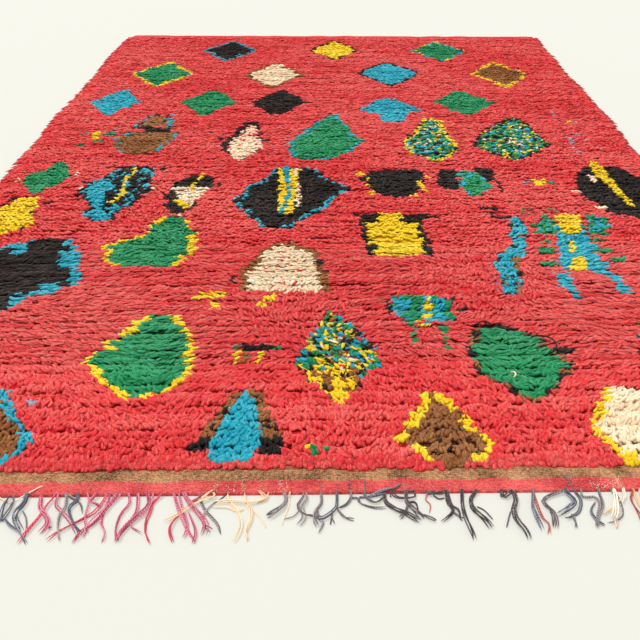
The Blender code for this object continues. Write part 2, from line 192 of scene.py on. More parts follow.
# %% The table of signs
Sign = namedtuple("Sign", "core edge levels")
SIGN_TABLE = [
    ("blue", (143.5, -66, -63.5), (155, -73, -57), (166, -66, -63)),
    ("green", (143.5, -38.5, -35), (155, -46, -28), (166, -38, -35)),
    ("black", (143.5, -18, -14), (155, -25, -7), (166, -17, -14)),
    ("blue", (137.5, 14, 20), (145, 12.5, 23), (148, 7.5, 26.5), (158, 14, 20)),
    ("green", (144.5, 37, 42), (155, 30.5, 49.5), (166, 38, 41)), ("green", (128.5, -68.5, -65.5)),
    ("yellow", (124.5, -65, -62), (130, -65, -62.5)), ("meadow", (127, -62, -58.5), (130, -62, -58.5)),
    ("green", (120.5, -68, -64)), ("green", (122.5, -64, -60)), ("slate", (132, -60, -59)),
    ("brown/dashes", (134, -55.5, -44), (139, -54.5, -44), (142, -52.5, -46.5)),
    ("black", (142, -52, -48), (144, -51.5, -48.5)), ("black", (133.5, -56, -50)),
    ("dashes", (144, -47.5, -45)),
    ("brown/flecked", (113.5, -53.5, -48), (115, -55.5, -45), (125, -59, -41), (130, -57, -41.5)),
    ("black", (130, -52, -43.5), (133, -52.5, -43.5)),
    ("black", (110.5, -25.5, -21.5), (120, -29.5, -17), (137.5, -25, -20)), ("black", (123.5, -19, -15.5)),
    ("black", (124.5, -31, -28)), ("rosy", (109.5, -24.5, -22.5), (119, -28, -17.5), (135, -23.5, -20.5)),
    ("cream", (110, -25, -22), (119.5, -28, -18)),
    ("green/dashed", (110, -7, -2), (112, -10.5, 2), (116, -11.5, 6), (122, -12, 8.5), (143.5, -1.5, 2)),
    ("red", (136, -1, 0)),
    ("mottle/sunny", (109, 24.5, 28), (117, 18.5, 34), (121, 18.5, 33.5), (140.5, 25.5, 30.5)),
    ("yellow", (138.5, 28.5, 32)),
    ("mottle/inky", (110, 44, 48.5), (120, 36.5, 58), (130, 40.5, 56.5), (140.5, 48.5, 54)),
    ("black", (138, 64, 65.5)), ("yellow", (138, 65.5, 68)), ("slate", (138, 68, 70)),
    ("slate", (143, 63, 64.5), (147, 63.5, 65)), ("slate", (128, 65, 68)),
    ("slate", (114.5, 62.5, 64), (119, 62.5, 64)), ("slate", (121.5, 63, 64), (126.5, 63, 64)),
    ("slate", (124.5, 67, 69.5)), ("slate", (118, 69, 70.5)),
    ("green", (90, -69, -67), (97, -74, -63), (101, -74, -62), (104, -70, -63.5), (109, -69, -66.5)),
    ("cream", (98, -75, -74)), ("cream", (101.5, -62, -61)),
    ("ink", (77, -51.5, -46), (80, -55.5, -47.5), (82, -54, -45), (93, -59, -41.5), (106, -51.5, -43)),
    ("black", (86.5, -58, -56), (90.5, -59, -57)), ("black", (97, -60, -57.5)),
    ("black", (103, -42, -40), (106, -42, -40)),
    ("blue", (77, -51, -47), (79, -54.5, -47.5), (82, -53, -50), (92, -58, -51.5), (95, -57, -50.5),
     (98, -57, -53)), ("blue", (81.5, -50, -46.5), (84.5, -49, -45)), ("blue", (100.5, -53.5, -51)),
    ("dashes", (103, -53.5, -51)), ("blue", (98.5, -46, -44)),
    ("blue", (93.5, -45, -42.5), (95, -44.5, -42)), ("blue", (101.5, -45.5, -43.5), (104.5, -47, -44)),
    ("dashes", (88, -46.5, -44)),
    ("yellow", (86, -50, -48.5), (91, -49, -46.5), (93.5, -49, -48), (100, -50, -48), (101.5, -48.5, -46.5),
     (105, -49, -47.5)), ("cream", (86, -51, -50)), ("cream", (93.5, -59, -58)),
    ("cream", (93, -42.5, -41)),
    ("black", (80, -35.5, -32.5), (84, -37.5, -29.5), (89, -38.5, -31), (93.5, -38, -27),
     (98.5, -35, -27.5), (101, -33, -30)), ("black", (94.5, -27, -25.5), (96.5, -27, -25.5)),
    ("cream", (84, -32.5, -31), (93, -37.5, -27.5)),
    ("yellow", (91.5, -32.5, -31), (96, -33.5, -31), (99.5, -31.5, -30.5)), ("yellow", (101.5, -31.5, -30)),
    ("yellow", (83, -33.5, -31), (87.5, -36.5, -33.5)), ("cream", (78.5, -33.5, -32.5)),
    ("black/dashes", (73, -14.5, -8.5), (86, -23, 1), (93, -20, 4.5), (105, -14, -4.5)),
    ("yellow", (80, -12, -8), (104, -13.5, -7)), ("blue", (80, -12, -10), (90, -10.5, -9), (106, -13, -10)),
    ("cream", (84, -8, -7), (96, -8.5, -7)), ("cream", (100.5, -10, -8), (103.5, -9.5, -8)),
    ("black", (88, 13.5, 17.5), (91, 9.5, 21), (98.5, 6, 22.5), (103.5, 8.5, 22.5)),
    ("yellow", (101.5, 5, 8)), ("yellow", (98, 8, 9.5)), ("yellow", (94.5, 7.5, 9.5)),
    ("yellow", (90.5, 8.5, 10.5)), ("yellow", (91, 21, 22.5), (97, 19.5, 21.5)), ("yellow", (99.5, 22, 24)),
    ("yellow", (89, 17.5, 20)), ("black", (92.5, 26, 30), (95, 24.5, 30.5), (104, 26, 31)),
    ("black", (97, 34.5, 39.5), (105, 34.5, 39.5)), ("black", (91, 38.5, 40), (97, 38.5, 40)),
    ("meadow", (89, 31, 34), (94, 29.5, 38.5), (103, 30, 35)),
    ("green", (89, 31.5, 34), (93, 31, 36.5), (99, 32, 36)), ("slate", (96, 44, 47)),
    ("yellow", (94.5, 47, 50.5), (98, 47, 51)), ("meadow", (96, 50.5, 53)),
    ("black", (77, 66, 70), (80, 60, 74), (90, 56.5, 76), (100, 58, 74), (105, 61.5, 71)),
    ("yellow", (83, 66, 68), (102, 63, 67), (109, 64, 66.5)), ("cream", (95.5, 61.5, 63), (101, 61.5, 63)),
    ("cream", (91, 54.5, 57.5)), ("cream", (82.5, 58, 61)),
    ("yellow", (71, -76, -67), (76, -76, -63.5), (88, -71, -66)),
    ("black", (84, -73.5, -71.5), (89, -73, -71)), ("black", (85.5, -65.5, -62)),
    ("black", (80.5, -67, -64)), ("black", (73.5, -66, -64)),
    ("green/yellow", (57, -42, -29.5), (58.5, -44.5, -28.5), (65.5, -46, -27), (70, -39.5, -27),
     (78.5, -38, -31)), ("green", (58.5, -41, -31), (66, -42, -28.5), (70, -38.5, -29.5), (79, -36, -31.5)),
    ("yellow/black", (61, 7, 20.5), (76, 5.5, 20)), ("black", (76, 6, 20), (79.5, 5, 22)),
    ("black", (78, 20, 24)), ("yellow", (74, 8.5, 15), (80, 10, 16)), ("black", (61.5, 18, 20.5)),
    ("black", (82, 32.5, 37)), ("black", (80, 34, 36.5)), ("black", (78, 33.5, 39.5)),
    ("zigzag", (46.5, 31, 34.5), (52, 31.5, 36), (57, 31, 36.5), (61, 33, 39), (66, 36, 40), (72, 37, 41.5),
     (77, 38, 41.5)), ("blue", (77, 38.5, 41.5)), ("black", (73, 37, 38), (76, 37.5, 39.5)),
    ("blue", (68, 37, 40.5), (72, 37, 41)), ("blue", (65, 36.5, 39.5)),
    ("blue", (61.5, 33.5, 37), (63, 35, 38)), ("black", (62, 37, 38.5)),
    ("brown", (56, 34.5, 36.5), (60, 35, 37)), ("blue", (67, 37, 40), (71.5, 38, 41.5)),
    ("brown", (69, 38, 40)), ("blue", (60.5, 34, 38.5), (63.5, 34.5, 39)), ("blue", (58, 31.5, 35.5)),
    ("blue", (53, 32, 35), (56, 32, 35)), ("brown", (57, 35.5, 37), (60, 35.5, 37.5)),
    ("black", (54, 34.5, 37)), ("blue", (46.5, 31.5, 33.5), (50.5, 31.5, 34)),
    ("brown", (47, 33.5, 35.5), (49.5, 33.5, 35.5)), ("meadow", (70.5, 43, 47), (77, 44.5, 48.5)),
    ("meadow", (70.5, 53, 57.5), (78, 55, 60)), ("blue", (55.5, 43.5, 53), (75.5, 47, 53.5)),
    ("yellow", (70, 47.5, 52), (79, 47.5, 54.5)), ("green", (76, 44.5, 47.5), (79, 45, 47.5)),
    ("green", (76.5, 54.5, 57.5), (79, 54.5, 58)), ("green", (74, 42, 47)), ("green", (70.5, 41, 47)),
    ("green", (67, 42, 45.5)), ("green", (63, 40.5, 45)), ("green", (58, 40, 44)),
    ("meadow", (73.5, 53, 59.5)), ("green", (70.5, 53, 58.5)), ("green", (67.5, 53, 56.5)),
    ("green", (63, 52, 56.5)), ("green", (59, 54, 58)), ("yellow", (62.5, 47.5, 48.5), (67.5, 48.5, 49.5)),
    ("yellow", (55.5, 45, 49.5), (60, 47, 50)),
    ("blue", (45.5, 43.5, 45), (49.5, 41.5, 45), (54, 42, 45.5)),
    ("blue", (47, 52, 55), (53, 52, 54.5), (54.5, 49.5, 53)),
    ("black/blue", (37, -64, -60), (47, -73, -54), (48.5, -74, -50.5), (50.5, -74.5, -47),
     (53, -74.5, -46.5), (57.5, -73.5, -48.5), (68.5, -62, -52)),
    ("blue", (57.5, -53, -48.5), (62.5, -54.5, -49.5)), ("blue", (47.5, -53.5, -50), (51, -54, -50)),
    ("blue", (62, -64, -60.5), (66.5, -65, -61)), ("blue", (44, -58, -55), (47.5, -58, -54)),
    ("blue", (50, -49, -46.5), (54.5, -50, -47)),
    ("cream/bark", (48, -16.5, -0.5), (53, -18, 0), (62, -14.5, -2.5), (66.5, -11.5, -7)),
    ("streaked", (50, -15, -2.5), (63, -11.5, -5.5)), ("bark", (48.5, -2, 0.5), (54.5, -2.5, -0.5)),
    ("black", (58, -3, -1)), ("black", (52, -19, -18)), ("yellow", (46, -25, -19), (47.5, -24.5, -19)),
    ("yellow", (42.5, -21.5, -19.5), (45, -22, -19)), ("yellow", (45, -13, -9.5), (47, -12.5, -9.5)),
    ("yellow", (43, -13.5, -11.5), (45, -13.5, -11)),
    ("meadow", (38.5, 13.5, 21.5), (41, 10.5, 21.5), (46, 10.5, 21.5)),
    ("black", (40, 9.5, 11), (44.5, 9, 10.5)), ("brown", (45.5, 8, 10)),
    ("blue", (41.5, 10.5, 14), (45.5, 10.5, 14.5)), ("green", (41.5, 13.5, 15.5), (45.5, 14, 17)),
    ("yellow", (41.5, 15.5, 18), (45.5, 16.5, 18)), ("yellow", (40, 16, 17.5)),
    ("blue", (41.5, 18, 20), (45.5, 18, 21)), ("blue", (40, 17.5, 19.5)), ("blue", (38.5, 16, 19.5)),
    ("green", (38, 19.5, 21), (43.5, 20, 21.5)), ("black", (45, 21, 23)), ("black", (38.5, 21, 22)),
    ("black", (41.5, 21.5, 24)), ("yellow", (37, 14.5, 18)), ("yellow", (38.5, 14, 16)),
    ("green", (31, 13, 14.5), (39.5, 13, 14.5)), ("green", (30, 18.5, 19.5), (37, 18, 20)),
    ("brown", (37, 51.5, 56)), ("blue", (33, 51, 55)), ("black", (29, 49, 54)), ("blue", (27.5, 49, 53)),
    ("green/yellow", (18, -31.5, -27), (23, -37, -22), (27, -40, -22), (30.5, -38, -21.5),
     (40.5, -33, -26.5)),
    ("speckle/azure", (21.5, -2.5, 3.5), (26, -6, 8.5), (34, -4, 6), (40.5, -1.5, 1.5)),
    ("spice", (17.5, 0.5, 2), (22.5, -4, 5.5), (25, -3.5, 6)),
    ("yellow", (17, 0.5, 2), (20.5, -1, 3.5), (22, -0.5, 3)), ("brown", (20, 1.5, 3)),
    ("black", (30.5, 5, 7.5)), ("black", (30.5, -15, -9.5)), ("green", (30.5, -16.5, -15)),
    ("green", (30.5, -9.5, -8)), ("yellow", (27, -16, -14.5), (29, -16, -15)),
    ("brown", (27, -15, -12.5), (29, -15, -12.5)), ("yellow", (27, -12.5, -11), (29, -12.5, -10.5)),
    ("green/charred", (17, 28.5, 31.5), (25, 22, 38.5), (33.5, 22.5, 35), (37, 24.5, 29.5)),
    ("black", (29.5, 36, 40)), ("black", (36.5, 24, 30)),
    ("brown/blue", (3.5, -54, -46), (8, -60, -41), (11, -61.5, -41.5), (15.5, -60, -46.5),
     (20.5, -53, -48.5)), ("slate", (18, -45, -44)), ("bark", (9.5, -19, -6.5), (19.5, -15.5, -10.5)),
    ("black", (7, -20, -17), (8.5, -20, -16.5), (10, -18, -16.5)),
    ("black", (6.5, -10.5, -7), (9.5, -10.5, -6)),
    ("blue", (5, -16, -11), (8, -17.5, -9.5), (12, -16.5, -9.5), (19.5, -14, -12)),
    ("black", (15.5, -16, -15)), ("brown/yellow", (5, 13, 21.5), (9, 9, 22.5), (19, 13.5, 17)),
    ("bark", (18.5, 14.5, 15.5)), ("brown", (3, 15.5, 18), (5, 14.5, 19)), ("black", (3, 16.5, 18)),
    ("cream/yellow", (4, 40, 49), (10.5, 36.5, 52), (20, 41, 47)), ("yellow", (7, -4, -3), (8, -4, -3)),
    ("green", (6.5, -3, -1.5), (7.5, -3, -1.5)), ("green", (6.5, -1, 0), (7.5, -1.5, 0)),
    ("blue/yellow", (22, 64, 66), (33, 54.5, 75), (44, 64, 66)),
    ("green/black", (20, -66, -63), (30, -74.5, -55), (41, -66, -62)),
    ("green/bark", (4, 66, 70), (11, 61.5, 75), (19, 66, 70)),
    ("yellow/black", (5, -71, -68), (12, -76.5, -64), (20, -71, -68)),
    ("brown/yellow", (50, 66, 68), (58, 62, 74), (67, 66, 69)),
    ("green/yellow", (170, -57.5, -54.5), (184, -67, -45), (197, -57.5, -54.5)),
    ("cream/bark", (169, -20.5, -17.5), (183, -29.5, -8.5), (197, -20.5, -17.5)),
    ("blue/black", (171, 17.5, 20.5), (185, 7.5, 30.5), (198, 17.5, 20.5)),
    ("brown/yellow", (170, 54.5, 57.5), (184, 46, 66), (198, 54.5, 57.5)),
    ("black/blue", (200, -38.5, -35.5), (213, -47.5, -26.5), (226, -38.5, -35.5)),
    ("yellow/black", (201, -0.5, 2.5), (214, -9, 11), (227, -0.5, 2.5)),
    ("green/azure", (200, 37.5, 40.5), (213, 28.5, 49.5), (226, 37.5, 40.5)),
]
SIGNS = []
for mix, *levels in SIGN_TABLE:
    core, _, edge = mix.partition("/")
    SIGNS.append(Sign(core, edge, levels))
print(len(SIGNS), "signs and parts of signs")


# %% Which mix a place is knotted in
SLIP = 0.0055              # how far a row may start a sign early or late
NARROW = 0.09              # in a sign narrower than this the slips are smaller
LEAST_SLIP = 0.2           # but no smaller than this share
EDGE_DEPTH = (0.006, 0.021)    # least and most depth of a sign's edge in one row
ONE_ROW = 0.42             # a sign of one level reaches this share of a row to either side
LEVEL_SLACK = 0.0010       # and any other sign this much past its first and last level
LEAST_CORE = 0.0090        # width that a narrow sign keeps, however long its locks are
slip_rng = np.random.default_rng(43)
ROW_SLIPS = slip_rng.uniform(-SLIP, SLIP, (len(SIGNS), KNOT_ROWS, 2))
ROW_DEPTHS = slip_rng.uniform(*EDGE_DEPTH, (len(SIGNS), KNOT_ROWS, 2))


def mixes_at(x, along, row, spread):
    """Number of the mix at each place: the last sign that covers it, else the red ground.

    A weaver counts knots and not millimetres, so each row starts and ends a sign up to half a knot early or
    late, and the edge of another colour is one or two knots wide, now more and now fewer. The middles of the
    locks keep clear of the sign's outline by their own spread, the length that shows to either side.
    """
    names = list(MIXES)
    chosen = np.zeros(len(x), dtype=int)
    for number, sign in enumerate(SIGNS):
        at, left, right = (np.array(column) / 100 for column in zip(*sign.levels))
        reach = ONE_ROW * ROW_PITCH if len(at) == 1 else LEVEL_SLACK
        near = np.flatnonzero(np.abs(along - (at[0] + at[-1]) / 2) <= (at[-1] - at[0]) / 2 + reach)
        left_edge, right_edge = np.interp(along[near], at, left), np.interp(along[near], at, right)
        width = right_edge - left_edge
        slip = ROW_SLIPS[number, row[near]] * (width / NARROW).clip(LEAST_SLIP, 1.0)[:, None]
        margin = np.minimum(((width - LEAST_CORE) / 2).clip(0.0), spread[near])
        from_left = x[near] - left_edge - slip[:, 0] - margin
        from_right = right_edge + slip[:, 1] - x[near] - margin
        inside = (from_left >= 0) & (from_right >= 0)
        chosen[near[inside]] = names.index(sign.core)
        if sign.edge:
            depth = ROW_DEPTHS[number, row[near]]
            rim = inside & ((from_left < depth[:, 0]) | (from_right < depth[:, 1]))
            chosen[near[rim]] = names.index(sign.edge)
    return chosen


def yarns_for(mix, draw):
    """A yarn for each place by its mix's shares: draw is an even random number from 0 to 1."""
    yarn = np.zeros(len(mix), dtype=int)
    for number, shares in enumerate(MIXES.values()):
        names = [YARNS.index(name) for name in shares]
        steps = np.cumsum(list(shares.values()))
        step = np.searchsorted(steps, draw * steps[-1], side="right").clip(0, len(names) - 1)
        picked = np.array(names)[step]
        yarn = np.where(mix == number, picked, yarn)
    return yarn


# %% [markdown]
# ## Meshes from arrays
#
# A shag pile is the same small shape ninety thousand times. Particle hair would need a render setting and a
# modifier for each yarn, so here every strand is worked out as an array instead: one small tube of a few
# rings, repeated, with its centre line, width and thickness set strand by strand. The same function makes the
# locks, the stray yarns, the fringe and the stitches.

# %% Faces and maps of one strand
def strand_faces(sides, rings):
    """Corners of one strand's faces in order, and the size of each face.

    The root is corner 0 and the tip is the last. Triangles fan out from the root to the first ring, quads
    join ring to ring, and triangles close the last ring on the tip.
    """
    side = np.arange(sides)
    after = (side + 1) % sides
    last = 1 + (rings - 1) * sides
    root_fan = np.stack([side * 0, 1 + after, 1 + side], 1)
    ring = np.stack([side, after, sides + after, sides + side], 1) + 1
    quads = [ring + r * sides for r in range(rings - 1)]
    tip_fan = np.stack([last + side, last + after, np.full(sides, last + sides)], 1)
    corners = np.concatenate([root_fan.ravel(), *[q.ravel() for q in quads], tip_fan.ravel()])
    sizes = np.concatenate([np.full(sides, 3), np.full(sides * (rings - 1), 4), np.full(sides, 3)])
    return corners, sizes


def strand_maps(sides, rings):
    """Places of one strand's face corners in a unit square: u goes round it and v from root to tip."""
    side = np.arange(sides)
    u0, u1 = side / sides, (side + 1) / sides
    middle = (u0 + u1) / 2
    v = np.arange(rings + 2) / (rings + 1)
    level = [u0 * 0 + height for height in v]
    root_fan = np.stack([middle, level[0], u1, level[1], u0, level[1]], 1)
    quads = [np.stack([u0, level[r], u1, level[r], u1, level[r + 1], u0, level[r + 1]], 1)
             for r in range(1, rings)]
    tip_fan = np.stack([u0, level[rings], u1, level[rings], middle, u0 * 0 + 1.0], 1)
    return np.concatenate([part.ravel() for part in (root_fan, *quads, tip_fan)]).reshape(-1, 2)


print("a strand of four sides and two rings has", len(strand_faces(4, 2)[1]), "faces")


# %% Corners of many strands
def strand_points(line, width, thickness, angle):
    """Corners of many strands.

    line holds each strand's centre line: root, rings and tip. At a ring the corner at an angle a is the
    centre plus side * cos(a) * width / 2 plus top * sin(a) * thickness / 2, where side is level and square
    to the line and top is square to both. The root and the tip are one corner each.
    """
    count = len(line)
    run = line[:, 2:] - line[:, :-2]
    run = run / np.linalg.norm(run, axis=2, keepdims=True)
    chord = line[:, -1] - line[:, 0]
    level = np.stack([-chord[:, 1], chord[:, 0], chord[:, 2] * 0], 1)
    level = level / np.linalg.norm(level, axis=1, keepdims=True)
    side = level[:, None, :] - run * (run * level[:, None, :]).sum(2, keepdims=True)
    side = side / np.linalg.norm(side, axis=2, keepdims=True)
    top = np.cross(run, side)
    spread = (side[:, :, None, :] * (np.cos(angle)[:, None, :] * width[:, :, None] / 2)[..., None]
              + top[:, :, None, :] * (np.sin(angle)[:, None, :] * thickness[:, :, None] / 2)[..., None])
    around = (line[:, 1:-1, None, :] + spread).reshape(count, -1, 3)
    return np.concatenate([line[:, :1], around, line[:, -1:]], 1)


# %% A mesh from flat arrays
def mesh_from_arrays(name, points, corners, sizes):
    """A mesh object from flat arrays: the points, every face's corners in turn, and each face's size."""
    mesh = bpy.data.meshes.new(name)
    mesh.vertices.add(len(points))
    mesh.vertices.foreach_set("co", np.ascontiguousarray(points, dtype=np.float32).ravel())
    mesh.loops.add(len(corners))
    mesh.loops.foreach_set("vertex_index", np.ascontiguousarray(corners, dtype=np.int32))
    mesh.polygons.add(len(sizes))
    starts = np.concatenate([[0], np.cumsum(sizes)[:-1]])
    mesh.polygons.foreach_set("loop_start", np.ascontiguousarray(starts, dtype=np.int32))
    mesh.polygons.foreach_set("use_smooth", np.ones(len(sizes), dtype=bool))
    mesh.update(calc_edges=True)
    made = bpy.data.objects.new(name, mesh)
    bpy.context.scene.collection.objects.link(made)
    return made


# %% A piece of many strands
CELL_MARGIN = 0.08         # clear share of a strand's cell at each side
LAY_STARTS = [37.0, 11.0]  # how far a strand's two shade numbers move the start of its map lay


def strands_object(name, line, width, thickness, sides, turn, shade):
    """One piece of many strands.

    shade is two numbers for each strand, kept with each corner as the attribute 'wool', together with how
    far along the strand the corner lies and how far round to its underside. The map OFBake gives each
    strand a cell of its own in a square grid. The map lay runs once round a strand and once along it, from
    a start that differs from strand to strand.
    """
    count, steps, _ = line.shape
    rings = steps - 2
    angle = turn[:, None] + np.arange(sides) * 2 * math.pi / sides
    points = strand_points(line, width, thickness, angle)
    corners, sizes = strand_faces(sides, rings)
    per_strand = rings * sides + 2
    all_corners = (corners[None, :] + (np.arange(count) * per_strand)[:, None]).ravel()
    made = mesh_from_arrays(name, points.reshape(-1, 3), all_corners, np.tile(sizes, count))

    along = np.concatenate([[0.0], np.repeat(np.arange(1, rings + 1) / (rings + 1), sides), [1.0]])
    # how far round to the underside, where the pile's shader paints its shade
    beneath = np.tile(0.5 - 0.5 * np.sin(angle), (1, rings))
    beneath = np.pad(beneath, ((0, 0), (1, 1)), constant_values=0.5)
    wool = np.empty((count, per_strand, 4), dtype=np.float32)
    wool[:, :, 0] = shade[:, 0:1]
    wool[:, :, 1] = along
    wool[:, :, 2] = shade[:, 1:2]
    wool[:, :, 3] = beneath
    attribute = made.data.attributes.new("wool", "FLOAT_COLOR", "POINT")
    attribute.data.foreach_set("color", wool.ravel())

    cells = math.ceil(math.sqrt(count))
    number = np.arange(count)
    cell = np.stack([number % cells, number // cells], 1)
    inside = strand_maps(sides, rings) * (1 - 2 * CELL_MARGIN) + CELL_MARGIN
    places = (cell[:, None, :] + inside[None, :, :]) / cells
    layer = made.data.uv_layers.new(name="OFBake")
    layer.data.foreach_set("uv", places.astype(np.float32).ravel())
    lay = made.data.uv_layers.new(name="lay")
    own = strand_maps(sides, rings)[None, :, :] + shade[:, None, :] * LAY_STARTS
    lay.data.foreach_set("uv", own.astype(np.float32).ravel())
    return made


# %% [markdown]
# ## The knots
#
# Each knot wraps two warps, and its cut ends, four to ten soft locks, lie over. At the near end they hang
# forward over the flat weave in pleats. In the next few rows, and for longer in the middle of the rug, they
# lie every way, so that each knot shows as a plump crumb. Further in they have been combed along their row,
# some to the left and some to the right, and a row reads as a rope with a thin dark furrow before the next
# one. At the rim they fall outwards over the edge. So the main facts of a lock are where its middle lies and
# its lean, an angle from the near end's direction. Both are made from those rules, plus smooth fields and a
# little chance. Rows far from the near end get fewer and plainer locks, because a lock is one pixel high
# there.

# %% Where the knots are and what they are tied in
ROW_START = 0.35           # share of a knot by which the starts of the rows differ
RIM_KNOT = 0.3             # share of half a knot that the outermost knots keep from the woven edge
ROW_WANDER = 0.0020        # how far a row strays from its straight line
KNOT_SPREAD = 0.004        # how far the body of a knot shows to either side
rng = np.random.default_rng(41)
knot_row, knot_column = np.divmod(np.arange(KNOT_ROWS * KNOT_COLUMNS), KNOT_COLUMNS)
row_start = rng.uniform(-0.5, 0.5, KNOT_ROWS)
knot_across = (knot_column + 0.5 + ROW_START * row_start[knot_row]) / KNOT_COLUMNS * 2 - 1
knot_across = knot_across.clip(-1 + RIM_KNOT / KNOT_COLUMNS, 1 - RIM_KNOT / KNOT_COLUMNS)
knot_along = FLAT_END + (knot_row + 0.5) * ROW_PITCH


def row_wave(across, row):
    """How far a row strays from its straight line: it changes over half the width and from row to row."""
    return ROW_WANDER * smooth_field(across, row, 1.1, 5)


knot_x, knot_y = on_floor(knot_across, knot_along + row_wave(knot_across, knot_row))
knot_draw = rng.random(len(knot_x))
knot_mix = mixes_at(knot_x, knot_along, knot_row, np.full(len(knot_x), KNOT_SPREAD))
knot_yarn = yarns_for(knot_mix, knot_draw)
print(len(knot_x), "knots")

# %% Four zones of locks, from the near end to the far one
# A zone ends at a row. It says how many locks each knot has, their width and length, and how far they show
# to either side. A form says of each point along a lock how far along it lies, how high, how much it droops
# where the lock hangs, how much of the curl it takes and, for the rings, how thick it is.
DETAILED_ROWS = 36         # rows from the near end whose knots have all their locks
LockForm = namedtuple("LockForm", "sides reach height droop bend girth")
Zone = namedtuple("Zone", "name rows locks width length spread form")
ZONES = [
    Zone("edge", 1, 10, 0.0086, 0.0092, 0.0034, LockForm(
        5, [0.0, 0.14, 0.50, 0.86, 1.0], [0.50, 0.90, 1.0, 0.84, 0.50], [0.0, 0.0, 0.16, 0.50, 0.60],
        [0.0, 0.5, 1.0, 0.5, 0.0], [0.84, 1.05, 0.90])),
    Zone("front", 13, 7, 0.0082, 0.0136, 0.0036, LockForm(
        4, [0.0, 0.22, 0.74, 1.0], [0.50, 0.97, 0.90, 0.50], [0.0, 0.05, 0.40, 0.56],
        [0.0, 0.9, 0.9, 0.0], [1.04, 0.92])),
    Zone("middle", DETAILED_ROWS, 7, 0.0068, 0.0148, 0.0040, LockForm(
        3, [0.0, 0.22, 0.78, 1.0], [0.50, 1.0, 0.93, 0.55], [0.0, 0.06, 0.40, 0.52],
        [0.0, 0.8, 0.8, 0.0], [1.05, 1.0])),
    Zone("field", KNOT_ROWS, 4, 0.0092, 0.0176, 0.0050, LockForm(
        3, [-0.2, 0.52, 1.2], [0.50, 1.0, 0.70], [0.0, 0.12, 0.48], [0.0, 1.0, 0.0], [1.0])),
]
knot_zone = np.searchsorted([zone.rows for zone in ZONES], knot_row, side="right")
locks_of_knot = np.array([zone.locks for zone in ZONES])[knot_zone]
lock_knot = np.repeat(np.arange(len(knot_x)), locks_of_knot)
lock_number = np.arange(len(lock_knot)) - np.repeat(np.cumsum(locks_of_knot) - locks_of_knot, locks_of_knot)
n_knots, n_locks = len(knot_x), len(lock_knot)
print(n_locks, "locks in", len(ZONES), "zones")

# %% Calm knots and wild ones
SETTLE_ROWS = (4.5, 8.5)   # rows over which locks settle from every way to sideways, and more in the middle
MIDDLE, MIDDLE_REACH = 0.12, 0.24    # where that middle is, and how far it reaches
in_middle = np.exp(-((knot_x - MIDDLE) / MIDDLE_REACH) ** 2)
settle_rows = SETTLE_ROWS[0] + SETTLE_ROWS[1] * in_middle
knot_settled = 1 - np.exp(-(knot_row / settle_rows) ** 1.7)
knot_calm = 1.02 - 0.44 * in_middle + 0.7 * smooth_field(knot_x, knot_y, 0.40, 13) + knot_row / 110
knot_calm = knot_calm.clip(0, 1) * knot_settled
combed = smooth_field(knot_x, knot_y, 0.34, 11)
knot_side = np.where(rng.random(n_knots) < 0.5 + 0.5 * (2.2 * combed).clip(-0.92, 0.92), 1.0, -1.0)
print(f"{(knot_calm > 0.5).mean():.0%} of the knots lie calm, and {(knot_side > 0).mean():.0%} to the right")

# %% Which way each lock could lean
# place says where a lock stands across its knot, from -0.5 to 0.5, and step where it stands along the rug,
# from -1 to 1.
PLACE_STEP = 0.618         # spreads the locks of a knot evenly across it, however many there are
SIDE_LEAN = (48, 28)       # degrees that combed locks lean sideways, and how much more where they lie calm
SIDE_CHANCE = (44, 28)     # how widely that differs between locks, and how much less where they lie calm
BURST_CHANCE = 26          # the same for locks that lie every way
lx, ly = knot_x[lock_knot], knot_y[lock_knot]
lrow, lacross = knot_row[lock_knot], knot_across[lock_knot]
calm, hang = knot_calm[lock_knot], (lrow == 0) * 1.0
place = (lock_number * PLACE_STEP + rng.random(n_knots)[lock_knot]) % 1 - 0.5
step = (lock_number + 0.5) / locks_of_knot[lock_knot] * 2 - 1
step = (step + rng.uniform(-0.25, 0.25, n_locks)).clip(-1, 1)
sideways = knot_side[lock_knot] * np.radians(SIDE_LEAN[0] + SIDE_LEAN[1] * calm)
swept = sideways + np.radians(SIDE_CHANCE[0] - SIDE_CHANCE[1] * calm) * rng.normal(0, 1, n_locks)
burst = np.arctan2(place * KNOT_PITCH, 0.003 - step * 0.007)
burst = burst + np.radians(BURST_CHANCE) * rng.normal(0, 1, n_locks)
print(f"combed locks lean {np.degrees(np.abs(swept)).mean():.0f} degrees on average")

# %% The hanging lobes of the first row
LOBE_SIZES = [1, 2, 2, 3]  # knots that may hang together as one lobe
LOBE_REACH, REACH_CHANCE = 0.0036, 0.0014    # how far a lobe hangs forward, and how that differs
LONG_LOBE, SHORT_LOBE = 0.048, 0.034         # where one lobe hangs lower, and the notch beside it
LONG_REACH, SHORT_REACH = 0.0095, -0.0030    # how far forward those two hang
LOBE_FAN, FAN_CHANCE = 34, 20                # degrees that a lobe's outer locks lean out, and their chance
lobe_size = rng.choice(LOBE_SIZES, KNOT_COLUMNS)
lobe_of_column = np.repeat(np.arange(KNOT_COLUMNS), lobe_size)[:KNOT_COLUMNS]
knots_in_lobe = np.bincount(lobe_of_column)
lobe_middle = np.bincount(lobe_of_column, knot_x[:KNOT_COLUMNS]) / knots_in_lobe
lobe_reach = LOBE_REACH + REACH_CHANCE * rng.normal(0, 1, len(lobe_middle))
lobe_reach[np.abs(lobe_middle - SHORT_LOBE).argmin()] = SHORT_REACH
lobe_reach[np.abs(lobe_middle - LONG_LOBE).argmin()] = LONG_REACH
lobe = lobe_of_column[knot_column[lock_knot]]
in_lobe = (lx + place * KNOT_PITCH - lobe_middle[lobe]) / (knots_in_lobe[lobe] * KNOT_PITCH / 2)
in_lobe = in_lobe.clip(-1, 1)
hanging = np.radians(LOBE_FAN) * in_lobe + np.radians(FAN_CHANCE) * rng.normal(0, 1, n_locks)
print(len(lobe_middle), "lobes hang over the near band")

